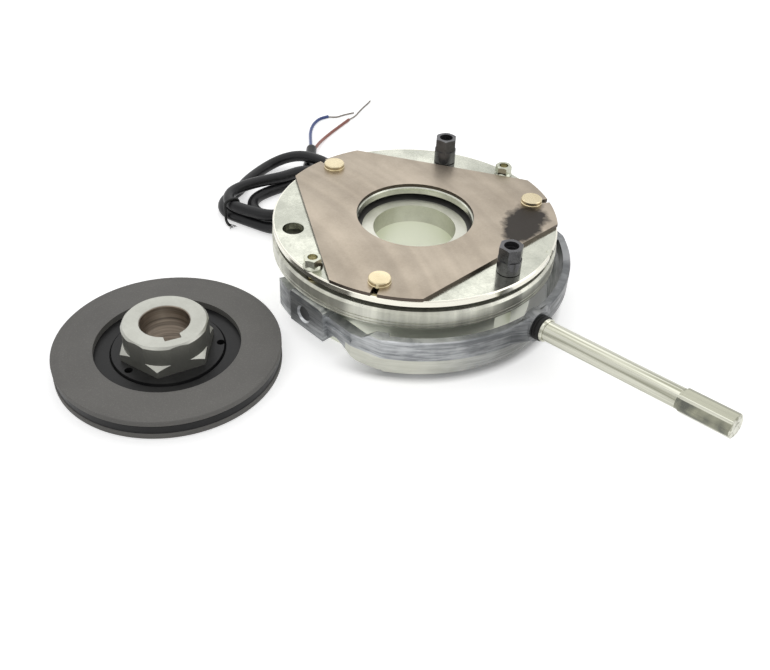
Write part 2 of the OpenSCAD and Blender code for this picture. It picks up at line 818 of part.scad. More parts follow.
// Wound part of the cable: its outer shape
module cable_coil() {
    span = coil_mid - coil_tip;
    lean = atan2(span[1], span[0]);
    spread = acos((coil_tip_r - coil_mid_r) / norm(span));
    tip = coil_tip_r - 0.5;
    mid = coil_mid_r - 0.5;
    color("black")
        at_exit()
            union() {
                translate(coil_tip)
                    cylinder(r = coil_tip_r, h = coil_h);
                translate(coil_mid)
                    cylinder(r = coil_mid_r, h = coil_h);
                linear_extrude(height = coil_h)
                    polygon([
                        coil_tip + on_circle(tip, lean + spread), coil_mid + on_circle(mid, lean + spread),
                        coil_mid + on_circle(mid, lean - spread), coil_tip + on_circle(tip, lean - spread)
                    ]);
            }
}

module cable_tail()
    color("black")
        at_exit()
            tube(tail_route, cable_r, 10);

module cable_tie()
    color("black")
        at_exit()
            tube(tie_route, tie_r);

module blue_core()
    color("steelblue")
        at_exit()
            tube(blue_route, core_r);

module brown_core()
    color("sienna")
        at_exit()
            tube(brown_route, core_r);

module bare_strands()
    color("darksalmon")
        at_exit()
            union() {
                tube(blue_strand_route, strand_r, 6);
                tube(brown_strand_route, strand_r, 6);
            }

magnet_body();
coil_bobbin();
coil_winding();
potting_ring();
hollow_bolt_front();
hollow_bolt_rear();
torque_springs();
release_springs();
armature_plate();
friction_plate();
plate_pins();
release_studs();
release_nuts();
cross_pins();
release_yoke();
lever_seal_ring();
lever_collar();
lever_rod();
lever_end_grip();
rotor_carrier();
friction_lining_lower();
friction_lining_upper();
rotor_hub();
cable_grommet();
cable_lead();
cable_coil();
cable_tail();
cable_tie();
blue_core();
brown_core();
bare_strands();
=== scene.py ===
"""Looks of a spring-applied brake with hand release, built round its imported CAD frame.

The CAD nodes keep their shapes and get procedural finishes. The cable, its cores, the bare strands and
the wire tie replace their plain CAD stand-ins.
"""

from __future__ import annotations

import logging
import math
from dataclasses import dataclass, field
from enum import Enum
from typing import Sequence

import bpy
import bmesh
from mathutils import Matrix, Vector

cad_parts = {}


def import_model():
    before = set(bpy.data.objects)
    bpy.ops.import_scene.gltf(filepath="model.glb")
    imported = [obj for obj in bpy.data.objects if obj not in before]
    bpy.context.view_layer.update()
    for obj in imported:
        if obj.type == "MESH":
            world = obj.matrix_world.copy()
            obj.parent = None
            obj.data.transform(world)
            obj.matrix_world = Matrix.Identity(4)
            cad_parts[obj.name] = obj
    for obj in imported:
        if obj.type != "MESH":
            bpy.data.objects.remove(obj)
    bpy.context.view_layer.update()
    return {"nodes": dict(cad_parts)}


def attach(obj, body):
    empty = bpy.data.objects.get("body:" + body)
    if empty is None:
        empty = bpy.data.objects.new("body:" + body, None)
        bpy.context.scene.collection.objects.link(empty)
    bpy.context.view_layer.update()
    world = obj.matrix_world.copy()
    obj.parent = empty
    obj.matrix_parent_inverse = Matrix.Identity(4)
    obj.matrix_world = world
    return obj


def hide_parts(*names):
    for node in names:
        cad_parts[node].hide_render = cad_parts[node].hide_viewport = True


LOG = logging.getLogger("brake")
MM = 0.001

Pair = tuple[float, float]
Triple = tuple[float, float, float]
Colour = tuple[float, float, float]
Port = tuple[str, str, object]
Inputs = dict[str | int, object]
Node = bpy.types.Node
Socket = bpy.types.NodeSocket
Tree = bpy.types.NodeTree
Object = bpy.types.Object
Material = bpy.types.Material

GEOMETRY: Port = ("Geometry", "Geometry", None)


class Axis(Enum):
    """Where a turned piece has its axis, as a shift of the pattern in metres."""

    BRAKE = (0.0, 0.0, 0.0)
    ROTOR = (0.0324, 0.13651, 0.0)


class Curve(Enum):
    """How a value passes from one end of a span to the other."""

    STRAIGHT = "LINEAR"
    SOFT = "SMOOTHSTEP"


class Mapped(Enum):
    """Whether a Mapping node moves the places, or turns and stretches the pattern itself."""

    PLACES = "POINT"
    PATTERN = "TEXTURE"


class TreeKind(Enum):
    """What a node tree makes."""

    SHADER = "ShaderNodeTree"
    GEOMETRY = "GeometryNodeTree"


# Node tree helpers


@dataclass
class Sketch:
    """A thin hand on a node tree: adds nodes with their values and links sockets."""

    tree: Tree

    def fill(self, node: Node, inputs: Inputs) -> None:
        """Sets or links a node's inputs.

        Args:
            node: The node.
            inputs: Values, or output sockets to link from, by the input's name or number.
        """
        for key, value in inputs.items():
            if isinstance(value, Socket):
                self.tree.links.new(value, node.inputs[key])
            else:
                node.inputs[key].default_value = value

    def add(self, kind: str, inputs: Inputs | None = None, **props: object) -> Node:
        """Adds one node.

        Args:
            kind: The node's type name.
            inputs: Values, or output sockets to link from, by the input's name or number.
            props: Properties of the node, which are set before its inputs.

        Returns:
            The new node.
        """
        node = self.tree.nodes.new(kind)
        for name, value in props.items():
            setattr(node, name, value)
        self.fill(node, inputs or {})
        return node

    def effect(self, group: Tree, inputs: Inputs) -> Node:
        """Places a shared effect with its own values."""
        return self.add("ShaderNodeGroup", inputs, node_tree=group)

    def math(self, operation: str, first: object, second: object = 0.0) -> Socket:
        """Adds a Math node and returns its output."""
        return self.add("ShaderNodeMath", {0: first, 1: second}, operation=operation).outputs[0]

    def times(self, first: object, second: object) -> Socket:
        """Multiplies two values."""
        return self.math("MULTIPLY", first, second)

    def plus(self, first: object, second: object) -> Socket:
        """Adds two values."""
        return self.math("ADD", first, second)

    def below(self, value: Socket, limit: float) -> Socket:
        """Gives 1 where a value is less than a limit, and 0 elsewhere."""
        return self.math("LESS_THAN", value, limit)

    def above(self, value: Socket, limit: float) -> Socket:
        """Gives 1 where a value is more than a limit, and 0 elsewhere."""
        return self.math("GREATER_THAN", value, limit)

    def part(self, vector: Socket, index: int) -> Socket:
        """Takes one part out of a vector."""
        return self.add("ShaderNodeSeparateXYZ", {0: vector}).outputs[index]

    def radius(self, place: Socket) -> Socket:
        """Measures how far a place is from the Z axis.

        Args:
            place: The place.

        Returns:
            The distance.
        """
        parts = self.add("ShaderNodeSeparateXYZ", {0: place}).outputs
        squares = self.plus(self.times(parts[0], parts[0]), self.times(parts[1], parts[1]))
        return self.math("SQRT", squares)

    def mix(self, share: object, first: object, second: object) -> Socket:
        """Mixes two colours by a share."""
        return self.add("ShaderNodeMix", {0: share, 6: first, 7: second}, data_type="RGBA").outputs[2]

    def scaled(self, colour: object, share: object) -> Socket:
        """Makes a colour lighter or darker."""
        return self.add("ShaderNodeVectorMath", {0: colour, "Scale": share}, operation="SCALE").outputs[0]

    def fit(self, value: Socket, span: tuple[object, object], into: Pair = (0.0, 1.0),
            curve: Curve = Curve.STRAIGHT) -> Socket:
        """Fits a value from one span into another.

        Args:
            value: The value.
            span: Where the value's span starts and ends, as numbers or sockets.
            into: What those two ends become.
            curve: How the value passes between them.

        Returns:
            The fitted value.
        """
        ends = {"From Min": span[0], "From Max": span[1], "To Min": into[0], "To Max": into[1]}
        node = self.add("ShaderNodeMapRange", {"Value": value, **ends}, interpolation_type=curve.value)
        return node.outputs[0]

    def noise(self, place: Socket, scale: object, detail: float, **more: float) -> Socket:
        """Adds a cloudy pattern.

        Args:
            place: Where the pattern is read.
            scale: Its scale, as a number or a socket.
            detail: Its levels of detail.
            more: Other inputs by name.

        Returns:
            The pattern's value, from 0 to 1.
        """
        inputs = {"Vector": place, "Scale": scale, "Detail": detail, **more}
        return self.add("ShaderNodeTexNoise", inputs).outputs[0]

    def bands(self, along: Socket, detail: float) -> Socket:
        """Adds a pattern that changes in one direction only.

        Args:
            along: The value that the pattern follows.
            detail: Its levels of detail.

        Returns:
            The pattern's value, from 0 to 1.
        """
        inputs = {"W": along, "Scale": 1.0, "Detail": detail}
        return self.add("ShaderNodeTexNoise", inputs, noise_dimensions="1D").outputs[0]

    def mapped(self, place: Socket, kind: Mapped = Mapped.PLACES, **inputs: Triple) -> Socket:
        """Moves, turns or stretches the places that a pattern reads.

        Args:
            place: The places.
            kind: What the values are meant for.
            inputs: Location, Rotation or Scale.

        Returns:
            The new places.
        """
        return self.add("ShaderNodeMapping", {"Vector": place, **inputs}, vector_type=kind.value).outputs[0]


@dataclass
class Canvas(Sketch):
    """A material's tree with its shader and the object coordinates and normals that patterns read."""

    material: Material
    shader: Node
    where: Socket
    facing: Socket

    def paint(self, inputs: Inputs) -> Material:
        """Sets or links the shader's inputs and returns the finished material."""
        self.fill(self.shader, inputs)
        return self.material

    def bump(self, height: Socket, depth: float, strength: float = 1.0) -> Socket:
        """Turns a height into a normal, with its depth in metres."""
        inputs = {"Height": height, "Distance": depth, "Strength": strength}
        return self.add("ShaderNodeBump", inputs).outputs[0]


def rgba(colour: Colour) -> tuple[float, float, float, float]:
    """A colour with full alpha."""
    return (*colour, 1.0)


def grey(level: float) -> tuple[float, float, float, float]:
    """A grey with full alpha."""
    return rgba((level, level, level))


def blank(owner: Material | bpy.types.World) -> Sketch:
    """Empties the node tree of a material or a world.

    Args:
        owner: The material or world.

    Returns:
        A sketch on its tree.
    """
    owner.use_nodes = True
    owner.node_tree.nodes.clear()
    return Sketch(owner.node_tree)


def open_tree(kind: TreeKind, name: str, ins: Sequence[Port],
              outs: Sequence[Port]) -> tuple[Sketch, Node, Node]:
    """Starts a node group or a geometry tree with named sockets.

    Args:
        kind: What the tree makes.
        name: The tree's name.
        ins: Name, socket kind and default value of each input.
        outs: The same of each output.

    Returns:
        A sketch on the tree, its input node and its output node.
    """
    tree = bpy.data.node_groups.new(name, kind.value)
    for side, ports in (("INPUT", ins), ("OUTPUT", outs)):
        for label, form, value in ports:
            socket = tree.interface.new_socket(label, in_out=side, socket_type=f"NodeSocket{form}")
            if value is not None:
                socket.default_value = value
    s = Sketch(tree)
    return s, s.add("NodeGroupInput"), s.add("NodeGroupOutput")


# Shared effects


@dataclass
class Effects:
    """The shared effects, each a shader node group that is built once."""

    turned: Tree = field(init=False)
    patina: Tree = field(init=False)
    cast: Tree = field(init=False)
    scuffs: Tree = field(init=False)
    scuff_turns: Pair = (0.5, -1.0)
    scuff_stretch: tuple[Triple, Triple] = ((14.0, 520.0, 60.0), (420.0, 18.0, 60.0))

    def __post_init__(self) -> None:
        """Builds the groups."""
        self.turned = self._turned()
        self.patina = self._patina()
        self.cast = self._cast()
        self.scuffs = self._scuffs()

    def _turned(self) -> Tree:
        """Builds fine lathe lines round the Z axis.

        Returns:
            A group with a height and a mask that follow the radius.
        """
        s, start, end = open_tree(
            TreeKind.SHADER, "lathe lines",
            [("Vector", "Vector", None), ("Lines", "Float", 900.0), ("Waver", "Float", 0.02)],
            [("Height", "Float", None), ("Mask", "Float", None)],
        )
        place = start.outputs["Vector"]
        wander = s.times(s.times(s.noise(place, 18.0, 1.0), start.outputs["Waver"]), 0.01)
        along = s.times(s.plus(s.radius(place), wander), start.outputs["Lines"])
        s.fill(end, {"Height": s.bands(along, 3.0), "Mask": s.bands(s.times(along, 0.13), 2.0)})
        return s.tree

    def _patina(self) -> Tree:
        """Builds a cloudy change between a clean and a stained colour.

        Returns:
            A group with the colour, and a mask for the shine.
        """
        s, start, end = open_tree(
            TreeKind.SHADER, "cloudy plating",
            [("Vector", "Vector", None), ("Scale", "Float", 40.0), ("Spread", "Float", 0.5),
             ("Clean", "Color", grey(0.7)), ("Stained", "Color", rgba((0.5, 0.5, 0.4)))],
            [("Color", "Color", None), ("Mask", "Float", None)],
        )
        place = start.outputs["Vector"]
        clouds = s.noise(place, start.outputs["Scale"], 5.0, Roughness=0.62)
        grain = s.noise(place, 900.0, 2.0)
        both = s.plus(s.times(clouds, 0.85), s.times(grain, 0.15))
        half = s.times(start.outputs["Spread"], 0.5)
        mask = s.fit(both, (s.math("SUBTRACT", 0.5, half), s.plus(0.5, half)), curve=Curve.SOFT)
        s.fill(end, {"Color": s.mix(mask, start.outputs["Clean"], start.outputs["Stained"]), "Mask": mask})
        return s.tree

    def _cast(self) -> Tree:
        """Builds the skin of a casting: soft waves and small pits.

        Returns:
            A group with the height and a mottled mask.
        """
        s, start, end = open_tree(
            TreeKind.SHADER, "cast skin",
            [("Vector", "Vector", None), ("Scale", "Float", 260.0), ("Pits", "Float", 0.4)],
            [("Height", "Float", None), ("Mask", "Float", None)],
        )
        place = start.outputs["Vector"]
        scale = start.outputs["Scale"]
        waves = s.noise(place, scale, 4.0)
        cells = s.add("ShaderNodeTexVoronoi", {"Vector": place, "Scale": s.times(scale, 2.6)})
        pits = s.fit(cells.outputs["Distance"], (0.0, 0.45))
        height = s.plus(waves, s.times(pits, start.outputs["Pits"]))
        s.fill(end, {"Height": height, "Mask": s.noise(place, s.times(scale, 0.22), 5.0)})
        return s.tree

    def _scuffs(self) -> Tree:
        """Builds thin handling scratches in two directions.

        Returns:
            A group with a mask of the scratches.
        """
        s, start, end = open_tree(
            TreeKind.SHADER, "handling scratches",
            [("Vector", "Vector", None), ("Density", "Float", 0.5)],
            [("Mask", "Float", None)],
        )
        masks: list[Socket] = []
        for turn, stretch in zip(self.scuff_turns, self.scuff_stretch):
            place = s.mapped(start.outputs["Vector"], Rotation=(0.0, 0.0, turn), Scale=stretch)
            masks.append(s.fit(s.noise(place, 1.0, 2.0, Distortion=0.4), (0.66, 0.76)))
        s.fill(end, {"Mask": s.times(s.math("MAXIMUM", *masks), start.outputs["Density"])})
        return s.tree


# Finishes


@dataclass(frozen=True)
class Finish:
    """What every finish shares: its name and how its material starts."""

    name: str

    def _open(self) -> Canvas:
        """Starts the material.

        Returns:
            A canvas on it, with a bare shader.
        """
        material = bpy.data.materials.new(self.name)
        s = blank(material)
        shader = s.add("ShaderNodeBsdfPrincipled")
        s.add("ShaderNodeOutputMaterial", {0: shader.outputs[0]})
        places = s.add("ShaderNodeTexCoord").outputs
        return Canvas(s.tree, material, shader, places["Object"], places["Normal"])

    def material(self, effects: Effects) -> Material:
        """Builds the material; each kind of finish has its own way."""
        raise NotImplementedError


@dataclass(frozen=True)
class Plated(Finish):
    """Bright plated steel with lathe lines, a cloudy tint and light scratches.

    Lengths are in metres. A zone is left out when its radius, height or strength is 0. The zones hold painted
    light and shade: the bore's painted shade and sheen, painted reflections round a drum, a lower part whose
    own zinc is made paler by painted light, and a painted highlight on the rim.
    """

    clean: Colour = (0.72, 0.73, 0.68)
    stained: Colour = (0.56, 0.57, 0.49)
    cloud_scale: float = 34.0
    spread: float = 0.42
    shine: Pair = (0.16, 0.36)
    metal: float = 1.0
    axis: Axis = Axis.BRAKE
    lines: float = 1500.0
    line_depth: float = 0.012 * MM
    scratches: float = 0.5
    # The bore zone: a darker brown as painted shade inside the bore, with bands of painted sheen.
    bore_r: float = 0.0
    bore_shade_and_sheen: Colour = (0.3, 0.25, 0.2)
    bore_stretch: Triple = (26.0, 26.0, 700.0)
    # Painted reflections: light and dark bands round a drum, with their strength, count and the radius they
    # start at.
    reflection_streaks: float = 0.0
    streak_count: float = 9.0
    streak_r: float = 0.07
    # The lower zone: the body's own zinc below low_z, made much paler as painted light where the drum sits in
    # shade between flange and yoke.
    low_z: float = 0.0
    low_tint_and_light: Colour = (0.86, 0.88, 0.76)
    # Painted highlight: a paler colour beyond rim_r, on a plate's rim.
    rim_r: float = 0.0
    rim_highlight: Colour = (0.84, 0.82, 0.72)

    def material(self, effects: Effects) -> Material:
        """Builds the plated material.

        Args:
            effects: The shared effects.

        Returns:
            The material.
        """
        s = self._open()
        place = s.mapped(s.where, Location=self.axis.value)
        turned = s.effect(effects.turned, {"Vector": place, "Lines": self.lines})
        cloud = s.effect(effects.patina, {
            "Vector": place, "Scale": self.cloud_scale, "Spread": self.spread,
            "Clean": rgba(self.clean), "Stained": rgba(self.stained),
        })
        marks = s.effect(effects.scuffs, {"Vector": place, "Density": self.scratches})
        blend = s.plus(s.times(turned.outputs["Mask"], 0.6), s.times(cloud.outputs["Mask"], 0.4))
        worn = s.plus(blend, s.times(marks.outputs["Mask"], 0.5))
        return s.paint({
            "Base Color": self._zones(s, place, cloud.outputs["Color"]),
            "Roughness": s.fit(worn, (0.2, 0.9), self.shine),
            "Metallic": self.metal,
            "Normal": s.bump(turned.outputs["Height"], self.line_depth),
        })

    def _zones(self, s: Canvas, place: Socket, colour: Socket) -> Socket:
        """Tints the zones that this finish sets apart, most of them with painted light and shade.

        Args:
            s: The material's canvas.
            place: Coordinates about the piece's axis.
            colour: The colour all over.

        Returns:
            The colour with the bore's painted shade and sheen, the drum's painted reflections, the lower
            part's painted light and the rim's painted highlight.
        """
        # Painted shade and sheen inside the bore.
        if self.bore_r:
            colour = s.mix(s.below(s.radius(place), self.bore_r), colour, self._painted_bore(s, place))
        # Painted reflections round the outside of the drum.
        if self.reflection_streaks:
            colour = self._painted_reflections(s, place, colour)
        # Painted light on the lower part, which lies in shade under the flange.
        if self.low_z:
            colour = s.mix(s.below(s.part(place, 2), self.low_z), colour, rgba(self.low_tint_and_light))
        # Painted highlight on the rim.
        if self.rim_r:
            colour = s.mix(s.above(s.radius(place), self.rim_r), colour, rgba(self.rim_highlight))
        return colour

    def _painted_bore(self, s: Canvas, place: Socket) -> Socket:
        """Makes the darker brown of a bore as painted shade, with light and dark turned bands as a painted
        sheen.

        Args:
            s: The material's canvas.
            place: Coordinates about the bore's axis.

        Returns:
            The colour.
        """
        banded = s.noise(s.mapped(place, Scale=self.bore_stretch), 1.0, 3.0)
        return s.scaled(self.bore_shade_and_sheen, s.fit(banded, (0.3, 0.7), (0.45, 1.35)))

    def _painted_reflections(self, s: Canvas, place: Socket, colour: Socket) -> Socket:
        """Adds painted reflections round the outside of a drum, as light and dark bands that run along its
        axis.

        Args:
            s: The material's canvas.
            place: Coordinates about the drum's axis.
            colour: The colour without streaks.

        Returns:
            The colour with streaks.
        """
        turn = s.math("ARCTAN2", s.part(place, 1), s.part(place, 0))
        band = s.bands(s.times(turn, self.streak_count), 4.0)
        level = s.fit(band, (0.35, 0.65), (1.0 - self.reflection_streaks, 1.0 + self.reflection_streaks))
        outside = s.above(s.radius(place), self.streak_r)
        return s.scaled(colour, s.add("ShaderNodeMix", {0: outside, 2: 1.0, 3: level}).outputs[0])


@dataclass(frozen=True)
class SatinPlate(Finish):
    """Rolled and ground plate: satin, warm grey, with curved scrapes and cloudy stains, side faces in painted
    shade and a dark patch that is a painted reflection.

    Lengths are in metres and the painted reflection's turn in radians. A slope is the upward part of a face's
    normal.
    """

    clean: Colour = (0.47, 0.405, 0.325)
    stained: Colour = (0.33, 0.28, 0.22)
    cloud_scale: float = 26.0
    cloud_spread: float = 0.55
    scrape_centre: Triple = (0.05, 0.21, 0.0)
    scrape_lines: float = 700.0
    scrape_tint: Pair = (0.9, 1.08)
    scrape_depth: float = 0.01 * MM
    scratches: float = 0.6
    # Painted shade: the dark colour of the plate's side faces, picked by how steep a face is.
    side_shade: Colour = (0.1, 0.08, 0.065)
    edge_slope: float = 0.4
    # A painted dark reflection on the plate: its colour, place, turn, size, ragged rim and strength.
    dark_reflection: Colour = (0.011, 0.0085, 0.0075)
    dark_reflection_place: Triple = (0.044, 0.037, 0.0)
    dark_reflection_turn: float = 0.414
    dark_reflection_size: Triple = (0.0118, 0.0228, 1.0)
    dark_reflection_rim: Pair = (0.72, 1.02)
    dark_reflection_share: float = 0.94
    shine: Pair = (0.3, 0.48)
    metal: float = 0.85

    def material(self, effects: Effects) -> Material:
        """Builds the satin material.

        Args:
            effects: The shared effects.

        Returns:
            The material.
        """
        s = self._open()
        cloud = s.effect(effects.patina, {
            "Vector": s.where, "Scale": self.cloud_scale, "Spread": self.cloud_spread,
            "Clean": rgba(self.clean), "Stained": rgba(self.stained),
        })
        sweep = s.mapped(s.where, Location=self.scrape_centre)
        arcs = s.effect(effects.turned, {"Vector": sweep, "Lines": self.scrape_lines})
        marks = s.effect(effects.scuffs, {"Vector": s.where, "Density": self.scratches})
        scraped = s.scaled(cloud.outputs["Color"], s.fit(arcs.outputs["Mask"], (0.3, 0.7), self.scrape_tint))
        # Painted dark reflection laid over the plate's face.
        face = s.mix(self._dark_reflection_mask(s), scraped, rgba(self.dark_reflection))
        # Painted shade on the side faces.
        side = s.below(s.math("ABSOLUTE", s.part(s.facing, 2)), self.edge_slope)
        worn = s.plus(cloud.outputs["Mask"], s.times(marks.outputs["Mask"], 0.6))
        return s.paint({
            "Base Color": s.mix(side, face, rgba(self.side_shade)),
            "Roughness": s.fit(worn, (0.0, 1.2), self.shine),
            "Metallic": self.metal,
            "Normal": s.bump(arcs.outputs["Height"], self.scrape_depth),
        })

    def _dark_reflection_mask(self, s: Canvas) -> Socket:
        """Makes the mask of the painted dark reflection, a long patch with a ragged rim.

        Args:
            s: The material's canvas.

        Returns:
            The mask.
        """
        turn = (0.0, 0.0, self.dark_reflection_turn)
        patch = s.mapped(s.where, Mapped.PATTERN,
                         Location=self.dark_reflection_place, Rotation=turn, Scale=self.dark_reflection_size)
        ragged = s.math("SUBTRACT", s.noise(s.where, 110.0, 6.0, Roughness=0.6), 0.5)
        return s.fit(s.plus(s.radius(patch), ragged), self.dark_reflection_rim, (self.dark_reflection_share, 0.0))


@dataclass(frozen=True)
class CastMetal(Finish):
    """Die-cast metal: mottled blue-grey with flow lines and pits, a pale lower bevel that is a painted
    reflection of the floor, and upward faces made paler as painted light.

    Lengths are in metres. Painted shade darkens it from one value of Y to the other, and the bevel's painted
    reflection fades likewise.
    """

    dark: Colour = (0.2, 0.21, 0.218)
    light: Colour = (0.48, 0.492, 0.5)
    # The pale colour: a painted reflection of the floor on the lower outer bevel.
    pale: Colour = (0.66, 0.66, 0.57)
    skin_scale: float = 300.0
    skin_depth: float = 0.12 * MM
    skin_strength: float = 0.6
    pits: float = 0.35
    flow_stretch: Triple = (45.0, 45.0, 620.0)
    flow_share: float = 0.55
    # Painted light: how much paler the faces that point up become.
    top_face_light: Pair = (1.0, 1.45)
    # Painted shade: the colour falls off from one value of Y to the other.
    shade_falloff_y: Pair = (-0.06, -0.012)
    shade_falloff: Pair = (1.1, 0.46)
    # Where the bevel's painted floor reflection lies, and how it fades as painted shade along Y.
    bevel_z: float = 0.0155
    bevel_r: float = 0.0792
    bevel_reflection_y: Pair = (-0.056, -0.026)
    bevel_reflection_share: Pair = (0.8, 0.15)
    shine: Pair = (0.46, 0.32)
    metal: float = 0.8

    def material(self, effects: Effects) -> Material:
        """Builds the cast material.

        Args:
            effects: The shared effects.

        Returns:
            The material.
        """
        s = self._open()
        skin = s.effect(effects.cast, {"Vector": s.where, "Scale": self.skin_scale, "Pits": self.pits})
        flow = s.noise(s.mapped(s.where, Scale=self.flow_stretch), 1.0, 4.0, Roughness=0.6, Distortion=0.6)
        mottle = s.times(skin.outputs["Mask"], 1.0 - self.flow_share)
        ramp = s.fit(s.plus(mottle, s.times(flow, self.flow_share)), (0.38, 0.62), curve=Curve.SOFT)
        along = s.part(s.where, 1)
        # Painted light: faces that point up get up to 45% paler.
        lift = s.fit(s.part(s.facing, 2), (0.5, 0.9), self.top_face_light)
        # Painted shade: the colour darkens towards larger Y.
        level = s.times(lift, s.fit(along, self.shade_falloff_y, self.shade_falloff))
        ground = s.scaled(s.mix(ramp, rgba(self.dark), rgba(self.light)), level)
        # Painted reflection of the floor on the lower outer bevel, fading out as painted shade towards larger
        # Y.
        bevel = s.times(s.below(s.part(s.where, 2), self.bevel_z), s.above(s.radius(s.where), self.bevel_r))
        share = s.times(bevel, s.fit(along, self.bevel_reflection_y, self.bevel_reflection_share))
        return s.paint({
            "Base Color": s.mix(share, ground, rgba(self.pale)),
            "Roughness": s.fit(ramp, (0.0, 1.0), self.shine),
            "Metallic": self.metal,
            "Normal": s.bump(skin.outputs["Height"], self.skin_depth, self.skin_strength),
        })


@dataclass(frozen=True)
class DrawnBar(Finish):
    """Drawn bright bar: thin lines along the lever, and a machined end whose facets get painted shade by the
    way they face: darker, mottled side faces and a darker top face.

    Lengths are in metres and the lever's tilt in radians. A slope is a part of a face's normal.
    """

    light: Colour = (0.62, 0.62, 0.53)
    dark: Colour = (0.3, 0.3, 0.23)
    # Painted shade for the machined end's facets: side for the steep ones, top for the upward one.
    side: Colour = (0.13, 0.135, 0.115)
    top: Colour = (0.36, 0.36, 0.29)
    tilt: float = 0.0908
    line_size: Triple = (0.14, 0.0023, 0.0023)
    line_depth: float = 0.04 * MM
    skin_scale: float = 700.0
    end_x: float = 0.1675
    side_slope: float = 0.62
    end_slope: float = 0.5
    top_slope: float = 0.8
    shine: Pair = (0.34, 0.16)
    metal: float = 1.0

    def material(self, effects: Effects) -> Material:
        """Builds the drawn material.

        Args:
            effects: The shared effects.

        Returns:
            The material.
        """
        s = self._open()
        level = s.mapped(s.where, Mapped.PATTERN, Rotation=(0.0, -self.tilt, 0.0), Scale=self.line_size)
        lines = s.noise(level, 1.0, 3.0, Roughness=0.6)
        ramp = s.fit(lines, (0.36, 0.58), curve=Curve.SOFT)
        bar = s.mix(ramp, rgba(self.dark), rgba(self.light))
        skin = s.effect(effects.cast, {"Vector": s.where, "Scale": self.skin_scale})
        # Painted shade: a dark, mottled colour for the end's side facets; the mottle differs at random.
        rubbed = s.mix(s.fit(skin.outputs["Mask"], (0.35, 0.65)), rgba(self.side), rgba(self.dark))
        upward = s.part(s.facing, 2)
        steep = s.below(s.math("ABSOLUTE", upward), self.side_slope)
        sideways = s.below(s.math("ABSOLUTE", s.part(s.facing, 0)), self.end_slope)
        end = s.above(s.part(s.where, 0), self.end_x)
        # Painted shade: the end's upward facet gets its own darker colour.
        top = s.times(s.above(upward, self.top_slope), end)
        share = s.times(s.times(steep, sideways), end)
        return s.paint({
            "Base Color": s.mix(share, s.mix(top, bar, rgba(self.top)), rubbed),
            "Roughness": s.fit(ramp, (0.0, 1.0), self.shine),
            "Metallic": self.metal,
            "Normal": s.bump(lines, self.line_depth),
        })


@dataclass(frozen=True)
class Coated(Finish):
    """Black oxide, coating, resin, rubber or sheath, with a cloudy change of shine."""

    base: Colour = (0.02, 0.02, 0.021)
    rubbed: Colour = (0.06, 0.06, 0.062)
    cloud_scale: float = 90.0
    skin_scale: float = 900.0
    pits: float = 0.2
    depth: float = 0.03 * MM
    shine: Pair = (0.32, 0.5)
    metal: float = 0.0
    gloss: float = 0.5

    def material(self, effects: Effects) -> Material:
        """Builds the coated material.

        Args:
            effects: The shared effects.

        Returns:
            The material.
        """
        s = self._open()
        skin = s.effect(effects.cast, {"Vector": s.where, "Scale": self.skin_scale, "Pits": self.pits})
        cloud = s.effect(effects.patina, {
            "Vector": s.where, "Scale": self.cloud_scale,
            "Clean": rgba(self.base), "Stained": rgba(self.rubbed),
        })
        return s.paint({
            "Base Color": cloud.outputs["Color"],
            "Roughness": s.fit(cloud.outputs["Mask"], (0.0, 1.0), self.shine),
            "Metallic": self.metal,
            "Specular IOR Level": self.gloss,
            "Normal": s.bump(skin.outputs["Height"], self.depth),
        })


@dataclass(frozen=True)
class Lining(Finish):
    """Pressed friction lining: matt grey with fine fibre specks and turned lines on its face."""

    base: Colour = (0.145, 0.141, 0.134)
    speck: Colour = (0.22, 0.215, 0.2)
    lines: float = 1100.0
    grain_scale: float = 1500.0
    cloud_scale: float = 30.0
    depth: float = 0.03 * MM
    shine: Pair = (0.55, 0.78)
    gloss: float = 0.25

    def material(self, effects: Effects) -> Material:
        """Builds the lining's material.

        Args:
            effects: The shared effects.

        Returns:
            The material.
        """
        s = self._open()
        place = s.mapped(s.where, Location=Axis.ROTOR.value)
        turned = s.effect(effects.turned, {"Vector": place, "Lines": self.lines})
        grains = s.noise(place, self.grain_scale, 3.0, Roughness=0.7)
        broad = s.fit(s.noise(place, self.cloud_scale, 4.0), (0.3, 0.7), (0.0, 0.35))
        amount = s.plus(s.times(s.fit(grains, (0.52, 0.72)), 0.6), broad)
        height = s.plus(s.times(grains, 0.7), turned.outputs["Height"])
        return s.paint({
            "Base Color": s.mix(amount, rgba(self.base), rgba(self.speck)),
            "Roughness": s.fit(turned.outputs["Mask"], (0.0, 1.0), self.shine),
            "Specular IOR Level": self.gloss,
            "Normal": s.bump(height, self.depth),
        })


@dataclass(frozen=True)
class BareWire(Finish):
    """Bare wire, dulled in places."""

    bright: Colour = (0.78, 0.42, 0.27)
    dull: Colour = (0.5, 0.27, 0.18)
    cloud_scale: float = 400.0
    shine: Pair = (0.25, 0.45)
    metal: float = 1.0

    def material(self, effects: Effects) -> Material:
        """Builds the wire's material.

        Args:
            effects: The shared effects.

        Returns:
            The material.
        """
        s = self._open()
        cloud = s.effect(effects.patina, {
            "Vector": s.where, "Scale": self.cloud_scale,
            "Clean": rgba(self.bright), "Stained": rgba(self.dull),
        })
        return s.paint({
            "Base Color": cloud.outputs["Color"],
            "Roughness": s.fit(cloud.outputs["Mask"], (0.0, 1.0), self.shine),
            "Metallic": self.metal,
        })


# ZINC has painted reflections round its drum and a lower part made paler by painted light.
ZINC = Plated("bright zinc plate", clean=(0.68, 0.68, 0.6), stained=(0.5, 0.5, 0.42), shine=(0.26, 0.46),
              metal=0.72, low_z=0.0272, reflection_streaks=0.16)
